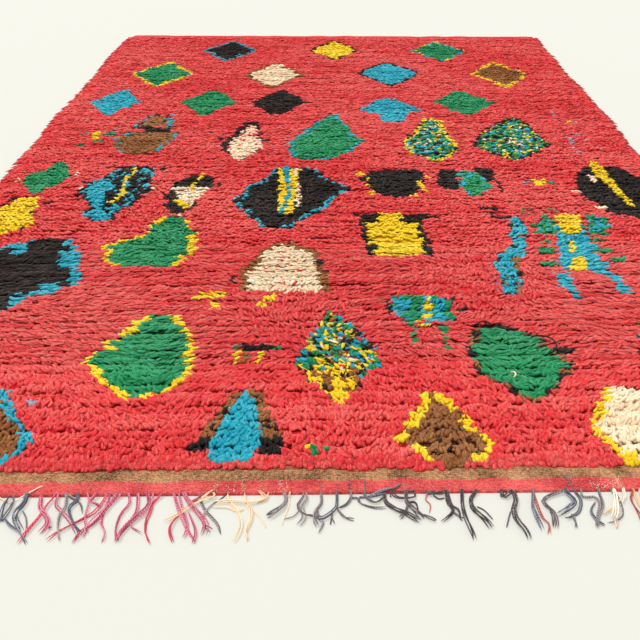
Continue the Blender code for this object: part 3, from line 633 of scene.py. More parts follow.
# %% How each lock leans
RIM_REACH = 0.022          # width of the rim at the sides where locks fall outwards
FAR_ROWS = 1.2             # and how many rows at the far end do
SIDE_FALL, FAR_FALL = 2.6, 2.4       # how strongly they fall outwards there


def heading_of(angle):
    """Level unit vectors at angles from the near end's direction."""
    return np.stack([np.sin(angle), -np.cos(angle)], 1)


weight = (calm ** 0.7)[:, None]
direction = weight * heading_of(swept) + (1 - weight) * heading_of(burst)
direction = direction * (1 - hang[:, None]) + heading_of(hanging) * hang[:, None]
outward_left = np.exp(-((lacross + 1) * HALF_CLOTH / RIM_REACH) ** 2)
outward_right = np.exp(-((1 - lacross) * HALF_CLOTH / RIM_REACH) ** 2)
outward_far = np.exp(-((KNOT_ROWS - 1 - lrow) / FAR_ROWS) ** 2)
direction[:, 0] += SIDE_FALL * outward_right - SIDE_FALL * outward_left
direction[:, 1] += FAR_FALL * outward_far
direction /= np.linalg.norm(direction, axis=1, keepdims=True)
print(f"{(direction[:, 0] > 0).mean():.0%} of the locks lean to the right")

# %% The length of each lock
HANGING_LENGTH = 0.0245    # of a lock at the rim
LENGTH_CHANCE = 0.16       # share by which the lengths differ
rim = np.maximum(np.maximum(outward_left, outward_right), outward_far)
length = np.array([zone.length for zone in ZONES])[knot_zone][lock_knot]
length = length * (1 + 0.35 * ((lrow - DETAILED_ROWS) / 50).clip(0, 1))
length = length * (1 + 0.26 * calm * (lrow < DETAILED_ROWS))
length = length + (HANGING_LENGTH - length) * rim
length = length * (1 + LENGTH_CHANCE * rng.normal(size=n_locks).clip(-2, 2))
length = length + 0.5 * hang * lobe_reach[lobe].clip(0, 1)
root_at = -0.5 + 0.14 * rim    # the root lies half a length before the lock's middle, and less at the rim
print(f"locks are {length.min() * 1000:.0f} to {length.max() * 1000:.0f} mm long")

# %% Where each lock lies
ROPE_HALF = 0.0070         # half the width that the middles of one row's locks take up
ROW_SHIFT = 0.0020         # how far the locks of a row stray together
KNOT_STRAY = 0.0040        # and the locks of one wild knot
BRIDGES = 0.16             # share of the locks that may lie across a furrow
BRIDGE_REACH = 0.0070      # and how far these stray
GAP_ROW, GAP_X, GAP_HALF = 41, -0.56, 0.08     # a place where one row lies open
parted = (1.6 * smooth_field(lx, lrow * 5.3, 0.14, 61) - 0.40).clip(0, 1) * ((lrow - 9) / 12).clip(0, 1)
far_away = (lrow / 45).clip(0, 1)
narrow = 1 + 0.20 * far_away - 0.16 * calm - 0.26 * parted
from_knot = ((4 * place ** 2 + step ** 2) / 2).clip(0, 1)
parted = np.where((lrow == GAP_ROW) & (np.abs(lx - GAP_X) < GAP_HALF), 1.0, parted)
row_shift = ROW_SHIFT * smooth_field(lx, lrow * 0.37, 0.07, 62)
knot_stray = (1 - knot_calm) * rng.uniform(-KNOT_STRAY, KNOT_STRAY, n_knots) * (knot_row > 0)
middle_x = lx + place * KNOT_PITCH * 1.15
middle_y = ly + step * ROPE_HALF * narrow * (1 - 0.1 * hang) + row_shift + knot_stray[lock_knot]
bridging = (rng.random(n_locks) < BRIDGES) * (1 - parted) * (1 - hang)
middle_y = middle_y + bridging * rng.uniform(-BRIDGE_REACH, BRIDGE_REACH, n_locks)
middle_y = middle_y + hang * (0.0004 - lobe_reach[lobe] * (1 - in_lobe ** 2) * (0.72 - 0.28 * step))
print(f"{(parted > 0.5).mean():.0%} of the locks lie parted from the next row")

# %% How high each lock lies
LOCK_TOP = 0.0205          # height of a row's crest above the floor
CREST_DROP = 0.0048        # how much lower the outer locks of a knot lie
TOP_CHANCE = 0.0030        # how much lower chance may lay one lock
KNOT_CHANCE = 0.0024       # and all the locks of a wild knot
RIM_DROP = 0.16            # share by which locks lie lower at the rim
outer_drop = CREST_DROP * step ** 2 * (0.15 + 0.50 * calm + 0.8 * parted) * (1 - 0.45 * far_away)
top = LOCK_TOP - outer_drop - rng.uniform(0, TOP_CHANCE, n_locks)
top = top - CREST_DROP * from_knot * (1 - calm) * (1 - hang)
top = top + 0.0012 * smooth_field(lx, ly, 0.055, 21) + 0.0010 * smooth_field(lx * 0.2, ly, 0.05, 22)
top = top - KNOT_CHANCE * rng.random(n_knots)[lock_knot] * (1 - calm)
top = top * (1 - RIM_DROP * rim) * (1 - hang * (0.46 - 0.44 * (step + 1) / 2 + 0.10 * in_lobe ** 2))
droop = rim + hang * (0.80 - 0.30 * step) + 0.45 * (1 - calm) * from_knot * (1 - hang)
print(f"half of the locks reach {np.median(top) * 1000:.1f} mm above the floor")

# %% The width, yarn and shade of each lock
# The dye lot is the slow change of tone from one dye lot to the next.
# In the first sixteen rows it is also made deeper, as painted shade.
WIDTH_CHANCE = 0.12        # share by which the widths differ
CURL = 0.0016              # how far a lock bends to one side
LOCK_SHIFT = 0.0020        # a lock shows this much nearer than its middle lies
HANG_SHIFT = 0.0075        # and the hanging locks of the first row this much more
OWN_DRAW = 0.75            # share of the locks that draw a yarn of their own, and not their knot's
lock_width = np.array([zone.width for zone in ZONES])[knot_zone][lock_knot]
lock_width = lock_width * (1 - 0.10 * calm * (lrow < DETAILED_ROWS))
lock_width = lock_width * (1 + WIDTH_CHANCE * rng.normal(size=n_locks).clip(-2, 2))
curl = rng.normal(0, CURL, n_locks)
lock_turn = -math.pi / 2 + rng.uniform(-0.3, 0.3, n_locks)
# painted shade: the first sixteen rows take a deeper tone
dye_lot_and_shade = 0.5 - 0.50 * (1 - lrow / 16).clip(0, 1) + 0.4 * smooth_field(lx * 0.45, ly, 0.30, 31)
dye_lot_and_shade = dye_lot_and_shade + 0.5 * smooth_field(lx * 0.5, lrow * 3.1, 0.20, 32)
seen_along = knot_along[lock_knot] + row_wave(lacross, lrow) + middle_y - ly
seen_along = seen_along - LOCK_SHIFT - hang * (HANG_SHIFT - 0.003 * step)
spread = np.array([zone.spread for zone in ZONES])[knot_zone][lock_knot]
lock_draw = np.where(rng.random(n_locks) < OWN_DRAW, rng.random(n_locks), knot_draw[lock_knot])
lock_yarn = yarns_for(mixes_at(middle_x, seen_along, lrow, spread), lock_draw)
print({name: int((lock_yarn == n).sum()) for n, name in enumerate(YARNS)})
lane = np.round(step * 1.6)
streak = smooth_field(middle_x, lrow * 7.3 + lane * 1.7, 0.045, 63)
own_shade = 0.5 + 0.45 * streak + 0.5 * rng.uniform(-0.5, 0.5, n_locks)
shade = np.stack([own_shade.clip(0, 1), dye_lot_and_shade.clip(0, 1)], 1)

# %% The path of each lock
FLATNESS = 0.86            # a lock is a little wider than thick
LOWEST = 0.56              # share of its thickness that a lock's centre line keeps above the floor


def lock_paths(form, chosen):
    """Centre lines and sizes of the chosen locks: along the lean, over the crest, and down to a blunt tip.

    A point lies reach along the lean from the lock's middle, and bend square to it. Its height is the lock's
    top less half its thickness, times the form's rise and the fall of a lock that hangs.
    """
    thick = lock_width[chosen, None] * FLATNESS
    reach = length[chosen, None] * (np.array(form.reach) + root_at[chosen, None])
    rise = 1 - (1 - np.array(form.height)) * 0.5
    fall = 1 - droop[chosen, None] * np.array(form.droop)
    height = np.maximum((top[chosen, None] - thick / 2) * rise * fall, thick * LOWEST)
    bend = curl[chosen, None] * np.array(form.bend)
    heading = direction[chosen]
    path = np.stack([
        middle_x[chosen, None] + heading[:, 0:1] * reach - heading[:, 1:2] * bend,
        middle_y[chosen, None] + heading[:, 1:2] * reach + heading[:, 0:1] * bend,
        height,
    ], 2)
    girth = lock_width[chosen, None] * np.array(form.girth)
    return path, girth, girth * FLATNESS


# %% One piece for each yarn, and several for the red ground
MOST_TRIANGLES = 190000
pile_pieces = {}
for yarn_number, yarn_name in enumerate(YARNS):
    for zone_number, zone in enumerate(ZONES):
        mine = np.flatnonzero((knot_zone[lock_knot] == zone_number) & (lock_yarn == yarn_number))
        if not len(mine):
            continue
        triangles_each = 2 * zone.form.sides * len(zone.form.girth)
        parts = math.ceil(len(mine) * triangles_each / MOST_TRIANGLES)
        for number, chunk in enumerate(np.array_split(mine, parts)):
            piece_name = f"{zone.name}_{yarn_name}" + (f"_{number + 1}" if parts > 1 else "")
            path, width, thickness = lock_paths(zone.form, chunk)
            sides, turn = zone.form.sides, lock_turn[chunk]
            piece = strands_object(piece_name, path, width, thickness, sides, turn, shade[chunk])
            pile_pieces[piece_name] = (piece, yarn_name)
print({name: len(piece.data.polygons) for name, (piece, _) in pile_pieces.items()})

# %% [markdown]
# ## Stray yarns
#
# A few cut ends are longer than the rest and have slipped out of their row, so they lie curled on top of the
# pile. Each one is a single strand whose heading turns evenly along its length.

# %% The stray yarns
# across and along are in centimetres, heading and turning in degrees, and the length in metres.
Stray = namedtuple("Stray", "yarn across along heading turning length")
STRAYS = [
    Stray("black", 34.5, 28.0, 10, 200, 0.085),
    Stray("green", 43.5, 79.0, 80, 290, 0.070),
    Stray("green", 48.5, 78.5, 100, 60, 0.030),
    Stray("cream", 28.0, 22.0, 20, 150, 0.018),
    Stray("black", 24.5, 36.0, 70, -120, 0.030),
]
STRAY_THICKNESS = 0.0026
STRAY_RINGS = 18
STRAY_REST, STRAY_ARCH = 0.0012, 0.0030    # how far its ends lie above the crests, and its middle above those
for number, stray in enumerate(STRAYS):
    run = np.arange(STRAY_RINGS + 2) / (STRAY_RINGS + 1)
    way = np.radians(stray.heading + stray.turning * run)
    pace = stray.length / (STRAY_RINGS + 1)
    start_x, start_y = on_floor(np.array([stray.across / 100 / HALF_CLOTH]), np.array([stray.along / 100]))
    rise = LOCK_TOP + STRAY_REST + STRAY_ARCH * np.sin(math.pi * run)
    line_x, line_y = start_x + np.cumsum(np.cos(way)) * pace, start_y + np.cumsum(np.sin(way)) * pace
    line = np.stack([line_x, line_y, rise], 1)
    girth = np.full((1, STRAY_RINGS), STRAY_THICKNESS)
    piece = strands_object(f"stray_{stray.yarn}_{number + 1}", line[None], girth, girth, 6, np.zeros(1),
                           np.array([[0.6, 0.5]]))
    pile_pieces[piece.name] = (piece, stray.yarn)
print(len(STRAYS), "stray yarns")

# %% [markdown]
# ## The woven ground, its flat ends and the knot bodies
#
# Under the locks lies a plain weave that shows only at the two ends, as a brown band and a red one. Between
# them it carries the bodies of the knots, packed in rows so tightly that they make a ribbed cushion of wool
# about a centimetre high. It is one cloth, so it is one sheet: a section of the whole length, with fine
# weft ribs at the flat ends and a ridge for each row, carried across the rug on a grid. The section runs
# back along the underside, which closes the sheet. The cushion takes a deep tone of the knots that stand in
# it, a painted shade for the gaps between the locks where it shows.

# %% The cloth's section and its grid
CLOTH_COLUMNS = 104
RIB_PITCH = 0.0032         # a weft and its shadow, drawn coarser than the yarn so that it shows
NEAR_EDGE = 0.0055         # the near band ends this far in from the cloth's end
flat_rows = np.arange(0.0, FLAT_END - 0.001, RIB_PITCH / 2)
ridge_rows = FLAT_END + np.arange(2 * KNOT_ROWS + 1) * ROW_PITCH / 2
near_rows = NEAR_EDGE + flat_rows * (1 - NEAR_EDGE / FLAT_END)
upper = np.concatenate([near_rows, ridge_rows, CLOTH_LENGTH - flat_rows[::-1]])
under = np.linspace(CLOTH_LENGTH, NEAR_EDGE, 28)
rim_steps = np.array([0.0, 0.006, 0.012]) / HALF_CLOTH
inner = np.linspace(-1 + 0.02, 1 - 0.02, CLOTH_COLUMNS - 5)
across = np.concatenate([-1 + rim_steps, inner, 1 - rim_steps[::-1]])
grid_across, grid_upper = np.meshgrid(across, upper, indexing="ij")
under_across, grid_under = np.meshgrid(across, under, indexing="ij")
print("the grid has", len(across), "columns and", len(upper) + len(under), "rows")

# %% Heights of the weave and of the knot bodies
RIB_HEIGHT = 0.00035
BUCKLE, BUCKLE_LIFT = 0.0010, 0.0008       # how far the bands rise and fall, and how far they lie up
EDGE_HEIGHT, EDGE_REACH = 0.0008, 0.0015   # height of a band's very end, and how soon it is full
RIDGE = 0.0140             # height of the knot bodies along a row
FURROW = 0.0105            # and between two rows
PRESSED = 0.0022           # how much lower they lie at the near end, over PRESSED_ROWS
PRESSED_ROWS = 40
SIDE_REACH = 0.012         # how far in from the woven edge they reach their height


def band_height(across, along):
    """Upper side of the weave: its thickness, weft ribs at the flat ends, and a slow buckle of the bands."""
    from_end = np.minimum(along - NEAR_EDGE, CLOTH_LENGTH - along)
    rib = RIB_HEIGHT * np.cos(2 * math.pi * along / RIB_PITCH)
    buckle = BUCKLE * smooth_field(across * HALF_CLOTH, along * 2.5, 0.10, 51) + BUCKLE_LIFT
    edge = np.minimum(from_end / EDGE_REACH, 1.0)
    return EDGE_HEIGHT + edge * (WEAVE_TOP - EDGE_HEIGHT + rib + buckle)


def cushion_height(across, along):
    """Height of the knot bodies: a ridge on every row and a furrow between, falling to nothing at the rim."""
    row = (along - FLAT_END) / ROW_PITCH
    wave = 0.5 - 0.5 * np.cos(2 * math.pi * row)
    from_side = (1 - np.abs(across)) * HALF_CLOTH
    inside = np.minimum((row - 0.25) * 0.4, (KNOT_ROWS - row) * 2.0)
    inside = np.minimum(inside, from_side / SIDE_REACH).clip(0, 1)
    packed = PRESSED * (row / PRESSED_ROWS).clip(0, 1) - PRESSED
    return (FURROW + packed + (RIDGE - FURROW) * wave) * inside ** 0.5


# %% The points of the closed sheet
END_WAVE, END_FADE = 0.0015, 0.004     # how far the near end wanders, and how soon that fades inwards
UNDERSIDE = 0.0003


def cloth_grid():
    """Points of the closed sheet, as a grid with the section's points in rows and the width in columns."""
    row = (grid_upper - FLAT_END) / ROW_PITCH
    in_field = (row >= 0) & (row <= KNOT_ROWS)
    stray = np.where(in_field, row_wave(grid_across, row - 0.5), 0.0)
    ux, uy = on_floor(grid_across, grid_upper + stray)
    end_wave = END_WAVE * smooth_field(grid_across * HALF_CLOTH, grid_upper * 0, 0.05, 52)
    fade = np.exp(-grid_upper / END_FADE)
    cushion = np.where(in_field, cushion_height(grid_across, grid_upper), 0.0)
    height = np.maximum(band_height(grid_across, grid_upper), cushion)
    upper_points = np.stack([ux, uy + end_wave * fade, height], 2)
    bx, by = on_floor(under_across, grid_under)
    under_points = np.stack([bx, by, np.full_like(bx, UNDERSIDE)], 2)
    return np.concatenate([upper_points, under_points], 1)


section = cloth_grid()
columns, rows = section.shape[:2]
print(f"the cloth is up to {section[:, :, 2].max() * 1000:.1f} mm high")

# %% The sheet's faces
c, r = np.meshgrid(np.arange(columns - 1), np.arange(rows), indexing="ij")
after = (r + 1) % rows
quads = np.stack([c * rows + r, (c + 1) * rows + r, (c + 1) * rows + after, c * rows + after], 2)
quads = quads.reshape(-1, 4)
left_cap = np.arange(rows)
right_cap = (columns - 1) * rows + np.arange(rows)[::-1]
corners = np.concatenate([quads.ravel(), left_cap, right_cap])
sizes = np.concatenate([np.full(len(quads), 4), [rows, rows]])
cloth = mesh_from_arrays("ground_weave", section.reshape(-1, 3), corners, sizes)
print("ground weave:", len(cloth.data.polygons), "faces")

# %% Where the flat weaves lie, and the sheet's map
FLAT_MARGIN = 0.0060       # the flat weave's face runs this far in under the first row of locks
GRID_SHARE = 0.96          # width of the map that the grid takes, with the two side caps beside it
CAP_START, CAP_SCALE = 0.97, 0.4     # where the first cap starts there, and the scale of its heights
CAP_STEP = 0.015           # and how far beside it the other one lies
row_along = np.concatenate([upper, under])
face_along = (row_along[r] + row_along[after]) / 2
face_end = np.minimum(face_along, CLOTH_LENGTH - face_along).ravel()
slots = np.concatenate([face_end < FLAT_END + FLAT_MARGIN, [False, False]]).astype(np.int32)
cloth.data.polygons.foreach_set("material_index", slots)
from_end = np.broadcast_to(np.minimum(row_along, CLOTH_LENGTH - row_along), (columns, rows))
attribute = cloth.data.attributes.new("from_end", "FLOAT", "POINT")
attribute.data.foreach_set("value", np.ascontiguousarray(from_end, dtype=np.float32).ravel())
corner_u = np.stack([c, c + 1, c + 1, c], 2) / (columns - 1) * GRID_SHARE
corner_v = np.stack([r, r, r + 1, r + 1], 2) / rows
grid_map = np.stack([corner_u, corner_v], 3).reshape(-1, 2)
cap_map = np.stack([CAP_START + CAP_SCALE * section[0, :, 2], row_along / CLOTH_LENGTH], 1)
both_caps = np.concatenate([cap_map, cap_map[::-1] + [CAP_STEP, 0.0]])
layer = cloth.data.uv_layers.new(name="OFBake")
layer.data.foreach_set("uv", np.concatenate([grid_map, both_caps]).astype(np.float32).ravel())
print(int(slots.sum()), "faces of flat weave")

# %% [markdown]
# ## The fringe
#
# The fringe is the warp itself: the yarns that the whole rug is woven on, cut from the loom and left loose
# in bundles. They are odd lengths of odd colours. Each starts in a small wrapped root over the red band's
# edge and lies on the floor, bent, forked and across its neighbours. The bundles that the photograph shows
# are listed one by one, by a few places that each passes, in centimetres across the rug and along it, where
# less than nothing is in front of the cloth. A bundle of some thickness is several yarns that twist round
# one another. On either side the photograph ends, and there the bundles are the same ones, turned over.

# %% The loose warp yarns, from left to right
Loose = namedtuple("Loose", "yarn thickness points")
SEEN_TABLE = [
    ("slate", 3.0, (-41.4, 0.7), (-41.1, -0.8), (-41.4, -2.9), (-42.0, -3.5)),
    ("slate", 2.4, (-41.4, -2.9), (-40.3, -4.2), (-38.6, -5.5), (-37.2, -7.2)),
    ("slate", 5.0, (-39.6, 0.6), (-39.6, -0.8), (-40.1, -2.2), (-39.7, -3.5), (-38.3, -5.3)),
    ("ash", 1.8, (-39.6, -1.6), (-38.6, -3.1), (-37.9, -5.1), (-37.8, -6.3)),
    ("pale", 1.8, (-37.9, 2.3), (-39.6, 0.6), (-42.0, -0.7)),
    ("magenta", 5.0, (-37.8, 0.7), (-37.3, -1.5), (-36.1, -2.9), (-35.5, -4.2), (-36.0, -5.7)),
    ("red", 2.4, (-36.0, 0.4), (-36.6, -1.1), (-36.9, -2.9), (-37.8, -5.3), (-38.4, -7.1)),
    ("magenta", 2.0, (-35.8, -4.0), (-34.9, -4.8)),
    ("magenta", 2.4, (-35.6, 0.6), (-35.4, -1.1), (-34.5, -2.0), (-32.6, -4.0), (-31.3, -6.0)),
    ("ash", 2.0, (-34.5, 0.6), (-34.0, -1.4), (-34.3, -2.9), (-33.9, -4.9), (-33.1, -6.8)),
    ("ash", 2.4, (-34.4, 0.5), (-33.3, -0.1), (-32.4, -0.9), (-31.8, -2.5)),
    ("slate", 3.4, (-33.0, 0.6), (-32.9, -0.3), (-33.5, -1.4), (-33.2, -2.7), (-32.0, -4.5), (-30.7, -5.8)),
    ("magenta", 2.0, (-31.7, 0.5), (-31.3, -0.9), (-31.1, -3.4), (-30.1, -5.6)),
    ("magenta", 2.4, (-30.6, 0.6), (-31.1, -0.6), (-30.3, -0.9), (-29.4, -1.5)),
    ("red", 3.0, (-29.3, 0.4), (-30.0, -1.9), (-31.1, -3.1), (-33.8, -5.2), (-35.0, -6.8)),
    ("magenta", 2.2, (-28.9, -0.0), (-29.0, -3.7), (-28.1, -5.4), (-28.0, -7.1)),
    ("magenta", 3.6, (-28.0, 0.4), (-28.9, -2.1), (-29.7, -3.9), (-30.9, -5.2), (-31.6, -7.2)),
    ("magenta", 2.6, (-27.6, 0.3), (-29.2, -2.3), (-30.3, -4.3), (-30.5, -6.4)),
    ("magenta", 2.2, (-26.4, 0.5), (-26.0, -1.0), (-26.7, -2.8), (-26.8, -5.2), (-26.2, -6.9)),
    ("magenta", 2.6, (-25.2, 0.4), (-24.8, -2.2), (-25.5, -4.1), (-26.1, -5.9)),
    ("magenta", 4.4, (-23.9, 0.4), (-23.5, -1.4), (-24.7, -3.2), (-26.0, -5.4), (-26.3, -7.1)),
    ("magenta", 2.4, (-23.2, -0.2), (-23.5, -2.2), (-25.1, -4.4), (-23.4, -5.7)),
    ("red", 2.4, (-22.2, 0.4), (-23.0, -0.8), (-23.0, -2.2), (-23.2, -3.7), (-22.9, -5.7), (-21.9, -7.4)),
    ("magenta", 3.0, (-20.5, 0.3), (-19.6, -2.0), (-18.6, -4.0), (-17.8, -5.5), (-16.6, -7.2)),
    ("magenta", 2.2, (-19.8, 0.2), (-18.9, -2.2), (-18.0, -4.7), (-18.2, -6.6)),
    ("magenta", 5.0, (-19.1, 0.3), (-18.2, -1.1), (-17.0, -2.7), (-15.8, -4.5), (-15.9, -6.2)),
    ("red", 2.2, (-19.0, -2.2), (-19.9, -4.1), (-20.0, -5.5), (-19.3, -7.2)),
    ("magenta", 2.4, (-18.3, -2.2), (-17.3, -4.3), (-16.8, -5.8), (-16.9, -7.4)),
    ("magenta", 2.6, (-18.3, -0.8), (-17.5, -0.4), (-16.7, 0.9)),
    ("ash", 2.2, (-17.1, 0.0), (-16.2, -2.0), (-14.4, -4.2), (-13.7, -6.0)),
    ("peach", 1.6, (-15.5, -1.5), (-13.3, -1.7), (-12.2, -2.3), (-11.1, -1.9)),
    ("peach", 2.4, (-15.3, 0.1), (-17.2, -0.9), (-19.3, -2.8), (-21.1, -4.0)),
    ("peach", 2.0, (-15.3, 1.2), (-17.1, -0.3), (-19.6, -2.5)),
    ("ash", 2.0, (-15.1, -0.7), (-16.1, -2.3), (-16.0, -4.3), (-14.8, -5.4)),
    ("charcoal", 1.6, (-13.7, 0.4), (-14.4, -0.3), (-15.5, -1.1)),
    ("peach", 2.8, (-13.6, 0.8), (-13.3, -0.5), (-12.1, -2.1), (-11.3, -4.1), (-11.4, -5.8), (-11.9, -7.3)),
    ("peach", 3.0, (-11.4, 0.8), (-11.0, -1.0), (-10.3, -2.1), (-10.2, -3.9), (-10.6, -5.6), (-10.2, -7.1)),
    ("peach", 1.8, (-10.8, -1.3), (-9.6, -2.6), (-8.7, -3.8), (-8.1, -5.0)),
    ("peach", 2.4, (-9.6, 0.9), (-8.5, -0.2), (-9.7, -0.9)),
    ("peach", 2.2, (-8.1, 0.8), (-8.8, -0.5), (-10.8, -1.0), (-13.3, -0.7), (-15.4, -1.0)),
    ("ash", 4.4, (-6.2, 0.7), (-5.9, -0.6), (-6.3, -1.8), (-7.4, -2.8), (-8.2, -3.4)),
    ("peach", 1.8, (-5.5, 0.5), (-5.6, -1.5), (-6.1, -3.3), (-6.3, -4.6)),
    ("ash", 1.8, (-4.1, -2.2), (-4.9, -3.2), (-6.2, -3.5)),
    ("ash", 2.0, (-3.7, -0.1), (-4.3, -1.7), (-3.4, -2.9), (-2.3, -3.1), (-1.4, -3.5)),
    ("ash", 3.0, (-3.4, 0.7), (-3.2, -0.4), (-3.8, -1.8), (-3.5, -3.5), (-4.2, -4.8)),
    ("ash", 2.6, (-1.8, -2.0), (-1.5, -3.6), (-1.0, -4.4), (-1.6, -6.0)),
    ("ash", 4.0, (-1.4, 0.8), (-1.3, -1.1), (-2.0, -2.5), (-2.2, -3.9), (-1.7, -4.9)),
    ("ash", 2.2, (0.1, -2.3), (-0.0, -3.4), (0.1, -4.6)),
    ("ash", 2.2, (0.6, -1.8), (1.4, -3.2), (2.0, -3.7), (2.9, -3.9)),
    ("slate", 3.4, (0.7, 0.9), (0.7, -1.1), (0.4, -2.2), (-1.1, -3.6), (-2.2, -3.1)),
    ("ash", 2.4, (2.5, 0.9), (2.5, -0.3), (1.9, -1.4), (0.7, -2.0)),
    ("ash", 2.0, (2.5, -0.2), (3.4, -0.3), (3.7, -1.2), (5.4, -2.0), (7.2, -2.0)),
    ("ash", 2.6, (4.3, 1.2), (4.4, -0.1), (5.6, -1.1), (7.0, -0.0)),
    ("slate", 2.4, (6.8, 0.3), (4.7, -0.1), (3.6, -0.2), (3.5, -1.0)),
    ("charcoal", 4.6, (6.9, 0.8), (7.0, -1.0), (8.0, -2.1), (9.7, -3.1), (11.2, -4.4)),
    ("slate", 3.0, (9.2, 1.9), (8.2, 1.0), (6.7, 0.6), (4.4, -0.4)),
    ("charcoal", 4.6, (9.8, 0.9), (9.7, -1.1), (10.7, -2.6), (11.6, -3.9)),
    ("charcoal", 2.2, (9.8, -1.1), (9.5, -2.6), (8.6, -3.8)),
    ("charcoal", 2.4, (9.9, -1.1), (10.8, -1.4), (11.1, -2.6)),
    ("charcoal", 2.0, (10.7, -0.3), (8.7, -0.4), (7.7, 0.7)),
    ("charcoal", 2.2, (11.5, -3.1), (12.4, -3.8), (13.2, -4.2)),
    ("charcoal", 2.2, (12.5, 0.2), (13.9, 0.2), (14.9, 0.4)),
    ("rust", 1.8, (12.6, 0.5), (12.1, -0.7), (12.6, -1.5), (12.3, -2.9)),
    ("charcoal", 1.8, (13.3, -0.0), (13.9, -0.6), (14.9, -0.4)),
    ("charcoal", 3.2, (15.0, 0.4), (15.0, -1.1), (15.5, -2.8), (13.7, -4.5)),
    ("charcoal", 2.6, (15.2, 0.1), (15.4, -1.8), (16.2, -2.5), (16.3, -4.1)),
    ("charcoal", 2.0, (15.5, -2.8), (16.6, -4.1)),
    ("charcoal", 4.0, (17.1, 0.5), (16.8, -1.9), (17.0, -3.9), (17.4, -5.9), (17.5, -7.3)),
    ("charcoal", 1.8, (18.6, -1.8), (19.6, -2.6), (20.4, -4.1)),
    ("charcoal", 4.6, (18.9, 0.5), (18.0, -0.8), (18.1, -2.4), (19.2, -3.9), (20.0, -5.6)),
    ("charcoal", 5.6, (22.3, -0.5), (23.5, 0.3), (23.9, -0.8), (23.1, -3.1), (23.5, -4.8), (24.1, -6.0),
     (24.3, -7.4)), ("charcoal", 1.8, (22.9, -2.6), (22.4, -3.9), (21.9, -5.4)),
    ("slate", 3.4, (26.3, 0.1), (25.8, -1.7), (25.8, -3.3), (26.1, -6.0)),
    ("rust", 3.0, (26.4, -0.4), (26.6, -3.7), (27.2, -4.9), (26.8, -6.6)),
    ("ash", 2.4, (27.9, -2.7), (28.0, -3.8), (27.6, -5.4)),
    ("ash", 2.2, (30.5, -3.2), (30.6, -4.3), (30.5, -5.6)),
    ("ash", 3.4, (30.7, 0.5), (29.1, 0.0), (27.9, -0.5), (27.3, -1.5), (28.1, -2.9), (28.3, -4.2),
     (27.9, -5.7)), ("slate", 4.6, (30.7, 0.3), (31.3, -1.3), (30.6, -2.2), (28.6, -3.7)),
    ("slate", 3.0, (31.6, 0.8), (32.3, -0.8), (31.6, -2.8), (30.5, -3.7), (29.4, -4.0)),
    ("ash", 2.4, (32.8, -0.6), (34.2, -0.7), (34.5, -1.9), (33.6, -3.9), (33.1, -5.7)),
    ("slate", 2.0, (34.2, -1.2), (33.1, -2.8), (33.4, -4.4), (34.2, -5.3)),
    ("ash", 2.8, (35.0, 0.3), (34.9, -1.9), (33.7, -3.9), (33.1, -5.6)),
    ("peach", 2.0, (35.8, -4.1), (35.4, -5.7)), ("peach", 2.2, (36.6, -2.4), (35.6, -2.8), (34.4, -3.3)),
    ("ash", 2.2, (36.7, 0.4), (37.2, -0.7), (37.0, -3.3), (35.9, -4.4), (34.6, -4.8)),
    ("pale", 4.4, (37.0, -0.1), (36.6, -1.7), (36.2, -3.0), (35.5, -4.3)),
    ("pale", 3.4, (38.3, 0.8), (38.1, -0.6), (37.2, -1.7)),
    ("rust", 2.4, (39.4, 0.2), (38.8, -1.0), (38.9, -2.6), (39.1, -4.0), (39.1, -5.7)),
    ("peach", 2.4, (39.6, 0.0), (39.6, -1.5), (39.7, -2.9)),
]
SEEN = [Loose(yarn, thickness, points) for yarn, thickness, *points in SEEN_TABLE]
LEFT_TURN, RIGHT_TURN = -41.6, 40.0


def turned_over(bundles, middle):
    """The bundles mirrored about a line across the rug."""
    return [Loose(b.yarn, b.thickness, [(2 * middle - x, along) for x, along in b.points]) for b in bundles]


reach = 100 * HALF_CLOTH - 0.3
bundles = SEEN + turned_over([b for b in SEEN if 2 * LEFT_TURN - b.points[0][0] > -reach], LEFT_TURN)
bundles = bundles + turned_over([b for b in SEEN if 2 * RIGHT_TURN - b.points[0][0] < reach], RIGHT_TURN)
print(len(bundles), "bundles of warp yarn")

# %% The path of every fringe yarn
STEPS = 12                 # points of a yarn's centre line
YARN_THICKNESS = 0.0021
BUNDLE_SHARE = 1.25        # millimetres of a bundle's thickness for each yarn in it
ROOT_ALONG = 0.60          # centimetres inside the end at which a bundle leaves the weave
BAND_REST = 0.0046         # height of a yarn's middle where it lies on the red band
FLOOR_GAP = 0.0002         # and the gap below it where it lies on the floor
SWING = 0.00045            # how far a bundle's yarns twist outwards, for each millimetre of its thickness
LONE_SWING = 0.0002        # and a yarn that lies alone
TURNS = (0.25, 0.8)        # least and most turns that they twist through
MOST_LIFT = 0.0026         # how far a bundle may arch off the floor
END_GAP = 0.001            # the yarns stay this far inside the solid fringe's end
fringe_rng = np.random.default_rng(77)


def curve_through(points, steps):
    """A smooth curve through the points, in even steps.

    A cubic runs from each point to the next, and its slope at a point is half the step between the points
    before and after it. The ends carry on as they came.
    """
    p = np.array(points, dtype=float)
    p = np.concatenate([[2 * p[0] - p[1]], p, [2 * p[-1] - p[-2]]])
    at = np.linspace(0, len(points) - 1, steps)
    leg = at.astype(int).clip(0, len(points) - 2)
    t = (at - leg)[:, None]
    a, b, c, d = (p[leg + k] for k in range(4))
    square, cube = 2 * a - 5 * b + 4 * c - d, 3 * b - 3 * c + d - a
    return 0.5 * (2 * b + (c - a) * t + square * t ** 2 + cube * t ** 3)


